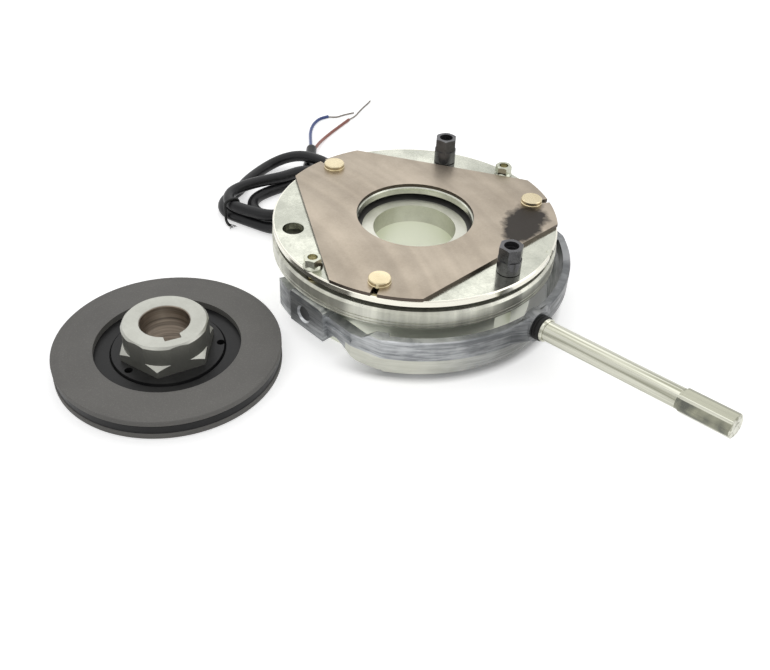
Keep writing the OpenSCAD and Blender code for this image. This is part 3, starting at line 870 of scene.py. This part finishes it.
# ARMATURE_ZINC has a painted highlight on its rim.
ARMATURE_ZINC = Plated("armature zinc plate", clean=(0.66, 0.67, 0.58), stained=(0.42, 0.43, 0.37),
                       shine=(0.12, 0.32), lines=900.0, spread=0.3, rim_r=0.0741)
HUB_ZINC = Plated("hub zinc plate", clean=(0.47, 0.475, 0.43), stained=(0.38, 0.38, 0.34), shine=(0.26, 0.46),
                  metal=0.8, axis=Axis.ROTOR, bore_r=0.0123, lines=1300.0)
NUT_ZINC = Plated("nut zinc plate", clean=(0.62, 0.63, 0.55), stained=(0.46, 0.47, 0.38), lines=400.0)
STUD_ZINC = Plated("yellow zinc plate", clean=(0.68, 0.6, 0.36), stained=(0.5, 0.42, 0.24), lines=500.0)
PIN_STEEL = Plated("dull pin steel", clean=(0.3, 0.31, 0.32), stained=(0.2, 0.2, 0.2), shine=(0.35, 0.5),
                   lines=500.0)
SPRING_STEEL = Plated("spring wire", clean=(0.5, 0.5, 0.5), stained=(0.38, 0.37, 0.35), lines=500.0)
PIN_BRASS = Plated("pale brass", clean=(0.72, 0.63, 0.43), stained=(0.58, 0.49, 0.31), shine=(0.2, 0.36),
                   lines=800.0)
LEVER_STEEL = DrawnBar("bright lever steel")
FRICTION = SatinPlate("satin friction plate")
CAST = CastMetal("cast yoke skin")
OXIDE = Coated("black oxide", base=(0.06, 0.06, 0.064), rubbed=(0.15, 0.15, 0.155), shine=(0.2, 0.36),
               metal=0.7)
CARRIER = Coated("black coated carrier", base=(0.009, 0.009, 0.01), rubbed=(0.022, 0.022, 0.022),
                 shine=(0.3, 0.45), gloss=0.2)
RUBBER = Coated("black rubber", base=(0.01, 0.01, 0.01), rubbed=(0.024, 0.024, 0.023), shine=(0.5, 0.66),
                gloss=0.25)
RESIN = Coated("dark potting resin", base=(0.05, 0.05, 0.048), rubbed=(0.08, 0.078, 0.07), shine=(0.3, 0.5))
NYLON = Coated("bobbin nylon", base=(0.6, 0.58, 0.5), rubbed=(0.52, 0.5, 0.42), shine=(0.4, 0.5))
SHEATH = Coated("black cable sheath", base=(0.006, 0.006, 0.007), rubbed=(0.014, 0.014, 0.016),
                shine=(0.28, 0.42), cloud_scale=60.0, depth=0.02 * MM, gloss=0.3)
TIE = Coated("black tie", base=(0.008, 0.008, 0.008), rubbed=(0.02, 0.02, 0.02), shine=(0.4, 0.55), gloss=0.3)
BLUE = Coated("blue core", base=(0.022, 0.05, 0.2), rubbed=(0.04, 0.08, 0.27), shine=(0.25, 0.38),
              depth=0.01 * MM)
BROWN = Coated("brown core", base=(0.25, 0.08, 0.055), rubbed=(0.33, 0.12, 0.09), shine=(0.25, 0.38),
               depth=0.01 * MM)
LINING = Lining("grey friction lining")
COPPER = BareWire("bare copper")
TINNED = BareWire("tinned strands", bright=(0.42, 0.38, 0.34), dull=(0.2, 0.18, 0.16))


@dataclass
class Wardrobe:
    """Every finish of the brake, as a made material by name."""

    effects: Effects
    made: dict[str, Material] = field(default_factory=dict)

    def get(self, finish: Finish) -> Material:
        """Makes a finish's material once.

        Args:
            finish: The finish.

        Returns:
            Its material.
        """
        if finish.name not in self.made:
            self.made[finish.name] = finish.material(self.effects)
        return self.made[finish.name]


# Routes and meshes

# Points that each span between two knots gets
SPAN_POINTS = 12
# Points at each end of a line that evening out leaves alone
HELD_POINTS = 3


@dataclass(frozen=True)
class Fineness:
    """How finely a route is drawn: its step in millimetres, its rounds of evening out and a tube's sides."""

    step: float
    rounds: int
    sides: int


def route_length(line: Sequence[Vector]) -> float:
    """Length of a line of points."""
    return sum((q - p).length for p, q in zip(line, line[1:]))


def curve_span(a: Vector, b: Vector, c: Vector, d: Vector) -> list[Vector]:
    """Follows the smooth curve through four knots, from the second up to the third.

    Args:
        a: The knot before the span.
        b: The span's first knot.
        c: The span's last knot, which the result leaves out.
        d: The knot after the span.

    Returns:
        Points of the curve.
    """
    t1 = (b - a).length ** 0.5
    t2 = t1 + (c - b).length ** 0.5
    t3 = t2 + (d - c).length ** 0.5
    found: list[Vector] = []
    for k in range(SPAN_POINTS):
        t = t1 + (t2 - t1) * k / SPAN_POINTS
        ab = a.lerp(b, t / t1)
        bc = b.lerp(c, (t - t1) / (t2 - t1))
        cd = c.lerp(d, (t - t2) / (t3 - t2))
        low = ab.lerp(bc, t / t2)
        high = bc.lerp(cd, (t - t1) / (t3 - t1))
        found.append(low.lerp(high, (t - t1) / (t2 - t1)))
    return found


def even_points(dense: Sequence[Vector], step: float) -> list[Vector]:
    """Picks evenly spaced points on a line.

    Args:
        dense: The line's own points, which lie close together.
        step: About how far apart the new points are.

    Returns:
        The new points, with both ends of the line.
    """
    total = route_length(dense)
    count = max(4, round(total / step))
    line = [dense[0]]
    walked = 0.0
    index = 0
    for n in range(1, count):
        goal = total * n / count
        while walked + (dense[index + 1] - dense[index]).length < goal:
            walked += (dense[index + 1] - dense[index]).length
            index += 1
        span = dense[index + 1] - dense[index]
        line.append(dense[index] + span * ((goal - walked) / span.length))
    line.append(dense[-1])
    return line


def smooth_route(points: Sequence[Triple], fineness: Fineness) -> list[Vector]:
    """A smooth, evenly spaced line through a route's points.

    Args:
        points: The route in millimetres.
        fineness: How finely it is drawn.

    Returns:
        The line's points in metres.
    """
    knots = [Vector(p) for p in points]
    knots = [2 * knots[0] - knots[1], *knots, 2 * knots[-1] - knots[-2]]
    dense: list[Vector] = []
    for four in zip(knots, knots[1:], knots[2:], knots[3:]):
        dense.extend(curve_span(*four))
    dense.append(knots[-2])
    line = even_points(dense, fineness.step)
    last = len(line) - HELD_POINTS
    for _ in range(fineness.rounds):
        inner = [line[i] * 0.5 + (line[i - 1] + line[i + 1]) * 0.25 for i in range(HELD_POINTS, last)]
        line[HELD_POINTS:last] = inner
    return [p * MM for p in line]


def link(obj: Object) -> Object:
    """Puts an object into the scene's collection."""
    bpy.context.scene.collection.objects.link(obj)
    return obj


def tube(name: str, line: Sequence[Vector], radius: float, sides: int) -> Object:
    """A round tube along a line, closed at both ends.

    Args:
        name: The object's name.
        line: Points of the centreline in metres.
        radius: The tube's radius in metres.
        sides: Number of faces round it.

    Returns:
        The new object.
    """
    mesh = bpy.data.meshes.new(name)
    bm = bmesh.new()
    turns = [2 * math.pi * k / sides for k in range(sides)]
    up = Vector((0.0, 0.0, 1.0))
    rings: list[list[bmesh.types.BMVert]] = []
    for i, point in enumerate(line):
        way = (line[min(i + 1, len(line) - 1)] - line[max(i - 1, 0)]).normalized()
        side = way.cross(up).normalized()
        up = side.cross(way).normalized()
        rings.append([bm.verts.new(point + radius * (math.cos(a) * side + math.sin(a) * up)) for a in turns])
    for low, high in zip(rings, rings[1:]):
        for k in range(sides):
            n = (k + 1) % sides
            bm.faces.new((low[k], low[n], high[n], high[k]))
    bm.faces.new(rings[0][::-1])
    bm.faces.new(rings[-1])
    bmesh.ops.recalc_face_normals(bm, faces=bm.faces)
    for face in bm.faces:
        face.smooth = len(face.verts) == 4
    bm.to_mesh(mesh)
    bm.free()
    return link(bpy.data.objects.new(name, mesh))


def polyline(name: str, line: Sequence[Vector]) -> Object:
    """A mesh of points joined by edges, which a geometry tree can follow.

    Args:
        name: The object's name.
        line: The points in metres.

    Returns:
        The new object.
    """
    mesh = bpy.data.meshes.new(name)
    mesh.from_pydata([tuple(p) for p in line], [(i, i + 1) for i in range(len(line) - 1)], [])
    return link(bpy.data.objects.new(name, mesh))


# Geometry trees


def grow(host: Object, tree: Tree, values: dict[str, object], name: str) -> Object:
    """Runs a geometry tree on a host and keeps its result as a plain mesh.

    Args:
        host: The object that the tree starts from; it is removed.
        tree: The geometry tree.
        values: Inputs by name.
        name: Name of the new object.

    Returns:
        The new object with a plain mesh.
    """
    modifier = host.modifiers.new(tree.name, "NODES")
    modifier.node_group = tree
    for item in tree.interface.items_tree:
        if item.item_type == "SOCKET" and item.in_out == "INPUT" and item.name in values:
            modifier[item.identifier] = values[item.name]
    graph = bpy.context.evaluated_depsgraph_get()
    mesh = bpy.data.meshes.new_from_object(host.evaluated_get(graph))
    mesh.name = name
    bpy.data.objects.remove(host)
    return link(bpy.data.objects.new(name, mesh))


def close_tree(s: Sketch, end: Node, shape: Socket, material: Socket) -> Tree:
    """Ends a geometry tree with real geometry in its material.

    Args:
        s: The sketch on the tree.
        end: The tree's output node.
        shape: What the tree has made.
        material: The material's socket.

    Returns:
        The finished tree.
    """
    real = s.add("GeometryNodeRealizeInstances", {0: shape})
    dressed = s.add("GeometryNodeSetMaterial", {"Geometry": real.outputs[0], "Material": material})
    s.fill(end, {0: dressed.outputs[0]})
    return s.tree


def strand_tree() -> Tree:
    """A bundle of thin strands, twisted round the line that it follows.

    Returns:
        The geometry tree.
    """
    s, start, end = open_tree(
        TreeKind.GEOMETRY, "twisted strands",
        [GEOMETRY, ("Strands", "Int", 7), ("Bundle Radius", "Float", 0.0004),
         ("Strand Radius", "Float", 0.00014), ("Twist", "Float", 30.0), ("Material", "Material", None)],
        [GEOMETRY],
    )
    given = start.outputs
    line = s.add("GeometryNodeMeshToCurve", {"Mesh": given["Geometry"]})
    turn = s.times(s.add("GeometryNodeSplineParameter").outputs["Factor"], given["Twist"])
    tilt = s.add("GeometryNodeSetCurveTilt", {"Curve": line.outputs[0], "Tilt": turn})
    spots = s.add("GeometryNodeMeshCircle", {"Vertices": given["Strands"], "Radius": given["Bundle Radius"]})
    wire = s.add("GeometryNodeCurvePrimitiveCircle", {"Resolution": 6, "Radius": given["Strand Radius"]})
    placed = s.add("GeometryNodeInstanceOnPoints", {"Points": spots.outputs[0], "Instance": wire.outputs[0]})
    profile = s.add("GeometryNodeRealizeInstances", {0: placed.outputs[0]})
    swept = s.add("GeometryNodeCurveToMesh", {
        "Curve": tilt.outputs[0], "Profile Curve": profile.outputs[0], "Fill Caps": True,
    })
    return close_tree(s, end, swept.outputs[0], given["Material"])


def fray_tree() -> Tree:
    """Short fibres that spread from a spot at random.

    Returns:
        The geometry tree.
    """
    s, start, end = open_tree(
        TreeKind.GEOMETRY, "frayed fibres",
        [GEOMETRY, ("Fibres", "Int", 14), ("Length", "Float", 0.006), ("Spread", "Float", 0.5),
         ("Thickness", "Float", 0.00016), ("Jitter", "Float", 0.0005), ("Way", "Vector", (0.0, 0.0, 0.0)),
         ("Seed", "Int", 3), ("Material", "Material", None)],
        [GEOMETRY],
    )
    given = start.outputs
    cloud = s.add("GeometryNodeMeshToPoints", {"Mesh": given["Geometry"]})
    more = s.add("GeometryNodeDuplicateElements", {
        "Geometry": cloud.outputs[0], "Amount": given["Fibres"],
    }, domain="POINT")
    back = s.times(given["Jitter"], -1.0)
    least = s.add("ShaderNodeCombineXYZ", {0: back, 1: back})
    most = s.add("ShaderNodeCombineXYZ", {0: given["Jitter"], 1: given["Jitter"], 2: given["Jitter"]})
    jitter = s.add("FunctionNodeRandomValue", {
        "Min": least.outputs[0], "Max": most.outputs[0], "Seed": given["Seed"],
    }, data_type="FLOAT_VECTOR")
    spot = s.add("GeometryNodeInputPosition")
    moved = s.add("ShaderNodeVectorMath", {0: spot.outputs[0], 1: jitter.outputs[0]}, operation="ADD")
    strewn = s.add("GeometryNodeSetPosition", {"Geometry": more.outputs[0], "Position": moved.outputs[0]})
    tip = s.add("ShaderNodeCombineXYZ", {0: given["Length"]})
    hair = s.add("GeometryNodeCurvePrimitiveLine", {"End": tip.outputs[0]})
    ring = s.add("GeometryNodeCurvePrimitiveCircle", {"Resolution": 5, "Radius": given["Thickness"]})
    fibre = s.add("GeometryNodeCurveToMesh", {
        "Curve": hair.outputs[0], "Profile Curve": ring.outputs[0], "Fill Caps": True,
    })
    lift = s.add("ShaderNodeCombineXYZ", {
        1: s.times(given["Spread"], -0.35), 2: s.times(given["Spread"], -1.0),
    })
    drop = s.add("ShaderNodeCombineXYZ", {2: given["Spread"]})
    lean = s.add("FunctionNodeRandomValue", {
        "Min": lift.outputs[0], "Max": drop.outputs[0], "Seed": s.plus(given["Seed"], 7.0),
    }, data_type="FLOAT_VECTOR")
    heading = s.add("ShaderNodeVectorMath", {0: lean.outputs[0], 1: given["Way"]}, operation="ADD")
    share = s.add("FunctionNodeRandomValue", {
        2: 0.5, 3: 1.1, "Seed": s.plus(given["Seed"], 13.0),
    }, data_type="FLOAT")
    placed = s.add("GeometryNodeInstanceOnPoints", {
        "Points": strewn.outputs[0], "Instance": fibre.outputs[0],
        "Rotation": heading.outputs[0], "Scale": share.outputs[1],
    })
    return close_tree(s, end, placed.outputs[0], given["Material"])


# Sub-assemblies


@dataclass
class SubAssembly:
    """Pieces that are dressed together."""

    nodes: dict[str, Object]
    wardrobe: Wardrobe

    def dress(self, finish: Finish, *names: str) -> None:
        """Gives CAD nodes one finish and reports each.

        Args:
            finish: The finish.
            names: The nodes' names.
        """
        for name in names:
            slots = self.nodes[name].data.materials
            slots.clear()
            slots.append(self.wardrobe.get(finish))
            LOG.info("%s: %s", name, finish.name)


@dataclass
class Magnet(SubAssembly):
    """Magnet body with its coil, potting and springs."""

    def build(self) -> None:
        """Dresses the magnet's nodes."""
        self.dress(ZINC, "magnet_body")
        self.dress(NYLON, "coil_bobbin")
        self.dress(COPPER, "coil_winding")
        self.dress(RESIN, "potting_ring")
        self.dress(SPRING_STEEL, "torque_springs", "release_springs")


@dataclass
class Armature(SubAssembly):
    """Armature and friction plates with the pins and the hollow bolts through them."""

    def build(self) -> None:
        """Dresses the plates and their fasteners."""
        self.dress(ARMATURE_ZINC, "armature_plate")
        self.dress(FRICTION, "friction_plate")
        self.dress(PIN_BRASS, "plate_pins")
        self.dress(OXIDE, "hollow_bolt_front", "hollow_bolt_rear")


@dataclass
class HandRelease(SubAssembly):
    """Yoke, studs, nuts, cross pins and the lever."""

    def build(self) -> None:
        """Dresses the hand release."""
        self.dress(CAST, "release_yoke")
        self.dress(STUD_ZINC, "release_studs")
        self.dress(NUT_ZINC, "release_nuts")
        self.dress(PIN_STEEL, "cross_pins")
        self.dress(RUBBER, "lever_seal_ring")
        self.dress(LEVER_STEEL, "lever_collar", "lever_rod", "lever_end_grip")


@dataclass
class RotorAndHub(SubAssembly):
    """Rotor with its two linings, and the keyed hub."""

    def build(self) -> None:
        """Dresses the rotor and the hub."""
        self.dress(CARRIER, "rotor_carrier")
        self.dress(LINING, "friction_lining_lower", "friction_lining_upper")
        self.dress(HUB_ZINC, "rotor_hub")


@dataclass(frozen=True)
class Bend:
    """A round bend of the cable, in millimetres and degrees, from its first angle and height to its last."""

    middle: Pair
    radius: float
    angles: Pair
    heights: Pair
    count: int
    decimals: int = 1

    def points(self) -> list[Triple]:
        """Works out the bend's points, evenly spaced.

        Returns:
            The points, rounded to a tenth of a millimetre.
        """
        found = []
        for k in range(self.count):
            share = k / (self.count - 1)
            turn = math.radians(self.angles[0] + (self.angles[1] - self.angles[0]) * share)
            x = self.middle[0] + self.radius * math.cos(turn)
            y = self.middle[1] + self.radius * math.sin(turn)
            height = self.heights[0] + (self.heights[1] - self.heights[0]) * share
            found.append((round(x, self.decimals), round(y, self.decimals), round(height, self.decimals)))
        return found


@dataclass
class Cable(SubAssembly):
    """The coiled cable with its tie, cores and bare ends, in millimetres and degrees.

    The lead is given as distance from the drum and height. The turns are round bends with runs of
    points between them, as places in the frame. The other routes are places counted from the outlet.
    """

    body: str = "brake_frame"
    radius: float = 3.45
    core_radius: float = 1.1
    tie_radius: float = 0.85
    bundle_radius: float = 0.4
    strand_radius: float = 0.19
    strand_count: int = 7
    strand_pitch: float = 6.0
    fibre_count: int = 9
    fibre_length: float = 5.5
    fibre_radius: float = 0.14
    fibre_spread: float = 0.55
    fibre_way: Triple = (0.0, 0.0, 0.05)
    fibre_seed: int = 5
    drum_radius: float = 66.0
    exit_angle: float = 197.0
    cable_fineness: Fineness = Fineness(1.5, 8, 20)
    core_fineness: Fineness = Fineness(1.2, 3, 14)
    thin_fineness: Fineness = Fineness(0.8, 2, 10)
    strands: Tree = field(init=False)
    lead: tuple[Pair, ...] = (
        (0, 11), (2, 11), (8.5, 11), (11.5, 10.7), (14.5, 9.9), (18, 8.3), (21.5, 6.5),
        (25, 4.9), (28.5, 3.9), (32, 3.6), (38, 3.55), (44, 3.5), (51, 3.5),
    )
    turns: tuple[Bend | tuple[Triple, ...], ...] = (
        Bend((-120.9, -21.8), 14.8, (-91.43, -172), (3.5, 3.5), 7),
        (
            (-137.4, -16.6, 3.5), (-141, -10.4, 3.5), (-144.4, -3.8, 3.5), (-148.3, 7.4, 3.5),
            (-150, 18.2, 4.4), (-146.2, 27.6, 7.6), (-138, 34.6, 10.5), (-129, 38.8, 10.8),
            (-119.6, 41, 10.4), (-110, 41, 8.9), (-99.8, 38.6, 7), (-91.6, 32.6, 5),
            (-86.6, 24.4, 3.8), (-84.6, 15, 3.6), (-84.4, 5, 4.8), (-85.4, -4, 7.8),
            (-87.4, -12.4, 10.4),
        ),
        Bend((-103, -15.6), 15, (-14, -74), (11.1, 11.1), 5),
        ((-105.5, -32.7, 10.9),),
        Bend((-116.3, -21.4), 14.2, (-74, -172), (10.7, 10.6), 8),
        ((-130.2, -14.2, 10.6), (-128.4, -5.8, 10.6), (-125.8, 2.4, 10.6), (-123.6, 10, 10.6)),
        Bend((-108.3, 16.5), 14.7, (176, 140), (10.6, 10.5), 3),
        Bend((-108.3, 16.5), 14.7, (120, 0), (10, 3.9), 6),
        ((-93.8, 9, 3.5), (-94.6, 0.5, 3.5)),
        Bend((-110, -7.6), 14.9, (-4, -176), (3.5, 3.5), 12),
        ((-124.9, 0, 3.5), (-124.3, 8, 3.5), (-124.3, 16, 3.5), (-125.8, 24, 3.5), (-129.6, 32, 3.5)),
    )
    tail: tuple[Triple, ...] = ((-77.1, 63.5, 3.6), (-80.4, 66.7, 3.6), (-83.7, 69.9, 3.7), (-87.1, 73.1, 4))
    blue: tuple[Triple, ...] = (
        (-85.6, 71.7, 4.6), (-92.9, 77.3, 3.4), (-100.9, 83.7, 2.2), (-108.4, 89.9, 1.4),
        (-114.9, 96.6, 1.2), (-119.4, 103.3, 1.2), (-121.8, 110.5, 1.2), (-120.9, 116.9, 1.2),
    )
    brown: tuple[Triple, ...] = (
        (-85.4, 73.9, 3.8), (-92.2, 84, 2.4), (-97.3, 93.7, 1.4),
        (-100.9, 103.3, 1.2), (-104.2, 113.7, 1.2), (-107.7, 125, 1.2),
    )
    blue_end: tuple[Triple, ...] = (
        (-121, 115.9, 1.2), (-118.9, 118.8, 0.9), (-116.9, 122.3, 0.7),
        (-116.5, 126.8, 0.7), (-115.3, 132.3, 0.7), (-114.4, 135.8, 0.7),
    )
    brown_end: tuple[Triple, ...] = (
        (-107.5, 124.1, 1.2), (-108.5, 128.5, 0.9), (-110.2, 134, 0.7), (-113.1, 139.9, 0.7),
        (-116.5, 147.3, 0.7), (-119.2, 154.1, 0.7), (-121.3, 158.5, 0.7),
    )
    tie: tuple[Triple, ...] = (
        (-49.3, -22.3, 1), (-51.7, -22.1, 1.1), (-53.7, -21.6, 2.2), (-54.3, -21.3, 5),
        (-54.3, -21.3, 10), (-54.2, -20.8, 13.4), (-53.9, -19.3, 14.7), (-53.5, -16.7, 14.8),
        (-52.9, -14.1, 14.6), (-52.6, -12.9, 13.6), (-52.5, -12.6, 11),
    )

    def __post_init__(self) -> None:
        """Builds the geometry tree that both cores' strands use."""
        self.strands = strand_tree()

    def build(self) -> None:
        line = smooth_route(self._cable_points(), self.cable_fineness)
        cable = tube("cable", line, self.radius * MM, self.cable_fineness.sides)
        self._piece(cable, SHEATH, "cable_black", "cable_lead", "cable_coil", "cable_tail")
        pieces = [*self._cores(), *self._tie_and_strands()]
        self.dress(RUBBER, "cable_grommet")

    def _outlet(self, reach: float) -> Pair:
        """A place on the outlet's line, at a distance from the brake's axis."""
        turn = math.radians(self.exit_angle)
        return reach * math.cos(turn), reach * math.sin(turn)

    def _from_exit(self, points: Sequence[Triple]) -> list[Triple]:
        """Turns route points that are counted from the outlet into places in the frame."""
        x, y = self._outlet(self.drum_radius)
        return [(p[0] + x, p[1] + y, p[2]) for p in points]

    def _cable_points(self) -> list[Triple]:
        """The cable's whole route, from its outlet to its cut end."""
        lead = [(*self._outlet(self.drum_radius + reach), height) for reach, height in self.lead]
        return [*lead, *self._turn_points(), *self._from_exit(self.tail)]

    def _turn_points(self) -> list[Triple]:
        """The turns' points, with each bend worked out."""
        runs = [part.points() if isinstance(part, Bend) else part for part in self.turns]
        return [point for run in runs for point in run]

    def _piece(self, obj: Object, finish: Finish, slot: str, *replaced: str) -> Object:
        """Gives a piece its finish, its body and what it replaces.

        Args:
            obj: The piece.
            finish: Its finish, unless a geometry tree gave it one.
            slot: Not used.
            replaced: The CAD nodes that it stands for.

        Returns:
            The same piece.
        """
        if not obj.data.materials:
            obj.data.materials.append(self.wardrobe.get(finish))
        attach(obj, self.body)
        if replaced:
            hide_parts(*replaced)
        LOG.info("%s: %s, %d faces", obj.name, finish.name, len(obj.data.polygons))
        return obj

    def _cores(self) -> list[Object]:
        """Builds the two insulated cores.

        Returns:
            The new pieces.
        """
        pieces: list[Object] = []
        for colour, route, finish in (("blue", self.blue, BLUE), ("brown", self.brown, BROWN)):
            line = smooth_route(self._from_exit(route), self.core_fineness)
            core = tube(f"{colour}_lead", line, self.core_radius * MM, self.core_fineness.sides)
            pieces.append(self._piece(core, finish, f"core_{colour}", f"{colour}_core"))
        return pieces

    def _tie_and_strands(self) -> list[Object]:
        """Builds the wire tie, the bare strands of both cores and the tie's frayed end.

        Returns:
            The new pieces.
        """
        line = smooth_route(self._from_exit(self.tie), self.thin_fineness)
        tie = tube("wire_tie", line, self.tie_radius * MM, self.thin_fineness.sides)
        return [
            self._piece(tie, TIE, "tie_black", "cable_tie"),
            self._piece(self._bundle("blue_strands", self.blue_end), TINNED, "copper", "bare_strands"),
            self._piece(self._bundle("brown_strands", self.brown_end), TINNED, "copper"),
            self._piece(self._fibres(line[:2]), TIE, "tie_black"),
        ]

    def _bundle(self, name: str, points: Sequence[Triple]) -> Object:
        """Builds twisted bare strands along a route.

        Args:
            name: The object's name.
            points: The route, counted from the outlet.

        Returns:
            The new object.
        """
        line = smooth_route(self._from_exit(points), self.thin_fineness)
        values = {
            "Strands": self.strand_count,
            "Bundle Radius": self.bundle_radius * MM,
            "Strand Radius": self.strand_radius * MM,
            "Twist": route_length(line) / (self.strand_pitch * MM) * 2 * math.pi,
            "Material": self.wardrobe.get(TINNED),
        }
        return grow(polyline(f"{name}_line", line), self.strands, values, name)

    def _fibres(self, spot: Sequence[Vector]) -> Object:
        """Builds the frayed fibres at the tie's end.

        Args:
            spot: The points that the fibres start from.

        Returns:
            The new object.
        """
        values = {
            "Fibres": self.fibre_count,
            "Length": self.fibre_length * MM,
            "Spread": self.fibre_spread,
            "Thickness": self.fibre_radius * MM,
            "Way": self.fibre_way,
            "Seed": self.fibre_seed,
            "Material": self.wardrobe.get(TIE),
        }
        return grow(polyline("fray_spot", spot), fray_tree(), values, "tie_fibres")


# Floor, light and camera


@dataclass(frozen=True)
class SoftBox:
    """A square lamp that looks at a point, in metres and watts."""

    name: str
    place: Triple
    aim: Triple
    size: float
    power: float

    def build(self) -> None:
        """Adds the lamp."""
        data = bpy.data.lights.new(self.name, "AREA")
        data.shape = "SQUARE"
        data.size = self.size
        data.energy = self.power
        lamp = link(bpy.data.objects.new(self.name, data))
        way = Vector(self.place) - Vector(self.aim)
        lamp.matrix_world = Matrix.Translation(self.place) @ way.to_track_quat("Z", "Y").to_matrix().to_4x4()


@dataclass
class Studio:
    """White floor, plain soft light and the camera.

    Places are in metres, the lens and the sensor in millimetres and the roll in degrees. The gap is the
    floor between the drum and the yoke's bow, which the light hardly reaches.
    """

    place: Triple = (0.2943, -0.3128, 0.3104)
    back: Triple = (0.5494, -0.5494, 0.6297)
    right: Triple = (0.70711, 0.70711, 0.0)
    roll: float = 2.579
    lens: float = 44.30
    sensor: float = 36.0
    nearest: float = 0.01
    floor_size: float = 6.0
    paper: float = 0.8
    glow: float = 0.55
    gap_r: Pair = (0.079, 0.084)
    gap_x: Pair = (0.02, 0.045)
    gap_shade: float = 0.9
    sky: Pair = (0.55, 0.95)
    sky_height: float = 0.85
    sky_share: float = 0.62
    boxes: tuple[SoftBox, ...] = (
        SoftBox("top_left_box", (-0.35, 0.1, 0.75), (0.0, 0.0, 0.02), 1.05, 2.2),
        SoftBox("right_box", (0.55, 0.45, 0.5), (0.02, 0.0, 0.02), 0.5, 0.6),
        SoftBox("front_box", (0.1, -0.8, 0.55), (0.0, -0.05, 0.02), 0.6, 0.5),
    )

    def build(self) -> None:
        """Makes the floor, the world, the lamps and the camera."""
        self._floor()
        self._world()
        for box in self.boxes:
            box.build()
        self._camera()
        bpy.context.scene.view_settings.view_transform = "Standard"

    def _floor(self) -> None:
        """A large sheet of white paper."""
        mesh = bpy.data.meshes.new("floor")
        bm = bmesh.new()
        bmesh.ops.create_grid(bm, x_segments=1, y_segments=1, size=self.floor_size)
        bm.to_mesh(mesh)
        bm.free()
        mesh.materials.append(self._white_paper())
        link(bpy.data.objects.new("floor", mesh))

    def _white_paper(self) -> Material:
        """Paper that glows white, save in the narrow gap between the drum and the yoke's bow.

        Returns:
            The material.
        """
        material = bpy.data.materials.new("white paper")
        s = blank(material)
        spot = s.add("ShaderNodeTexCoord").outputs["Object"]
        ring = s.fit(s.radius(spot), self.gap_r, (self.gap_shade, 0.0))
        gap = s.times(ring, s.fit(s.part(spot, 0), self.gap_x))
        seen = self._seen(s, s.math("SUBTRACT", 1.0, gap))
        sheet = s.add("ShaderNodeBsdfDiffuse", {"Color": grey(self.paper)})
        glow = s.add("ShaderNodeEmission", {"Color": grey(1.0), "Strength": s.times(seen, self.glow)})
        both = s.add("ShaderNodeAddShader", {0: sheet.outputs[0], 1: glow.outputs[0]})
        s.add("ShaderNodeOutputMaterial", {0: both.outputs[0]})
        return material

    def _seen(self, s: Sketch, share: object) -> Socket:
        """Picks the rays that meet white: straight ones, reflections and looks through clear pieces.

        Args:
            s: The sketch on the tree.
            share: How much of it the straight ones see.

        Returns:
            The share of white for each ray.
        """
        ray = s.add("ShaderNodeLightPath").outputs
        direct = s.times(ray["Is Camera Ray"], share)
        mirrored = s.math("MAXIMUM", direct, ray["Is Glossy Ray"])
        return s.math("MAXIMUM", mirrored, ray["Is Transmission Ray"])

    def _world(self) -> None:
        """An even pale room, white where the camera or a reflection sees it."""
        world = bpy.data.worlds.new("plain room")
        bpy.context.scene.world = world
        s = blank(world)
        height = s.part(s.add("ShaderNodeTexCoord").outputs["Generated"], 2)
        shade = s.fit(height, (0.0, self.sky_height), self.sky)
        level = s.math("MAXIMUM", s.times(shade, self.sky_share), self._seen(s, 1.0))
        room = s.add("ShaderNodeBackground", {"Color": grey(1.0), "Strength": level})
        s.add("ShaderNodeOutputWorld", {0: room.outputs[0]})

    def _camera(self) -> None:
        """The camera at the photograph's place, with its small roll."""
        data = bpy.data.cameras.new("camera")
        data.sensor_width = self.sensor
        data.sensor_fit = "HORIZONTAL"
        data.lens = self.lens
        data.clip_start = self.nearest
        camera = link(bpy.data.objects.new("camera", data))
        back = Vector(self.back).normalized()
        right = Vector(self.right)
        up = back.cross(right)
        turn = math.radians(self.roll)
        across = right * math.cos(turn) + up * math.sin(turn)
        above = up * math.cos(turn) - right * math.sin(turn)
        pose = Matrix((across, above, back)).transposed().to_4x4()
        camera.matrix_world = Matrix.Translation(self.place) @ pose
        bpy.context.scene.camera = camera


def main() -> None:
    """Builds and reports every sub-assembly in order."""
    logging.basicConfig(level=logging.INFO, format="%(name)s: %(message)s")
    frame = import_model()
    nodes = frame["nodes"]
    wardrobe = Wardrobe(Effects())
    Studio().build()
    for assembly in (Cable, Magnet, Armature, HandRelease, RotorAndHub):
        assembly(nodes, wardrobe).build()


if __name__ == "__main__":
    main()
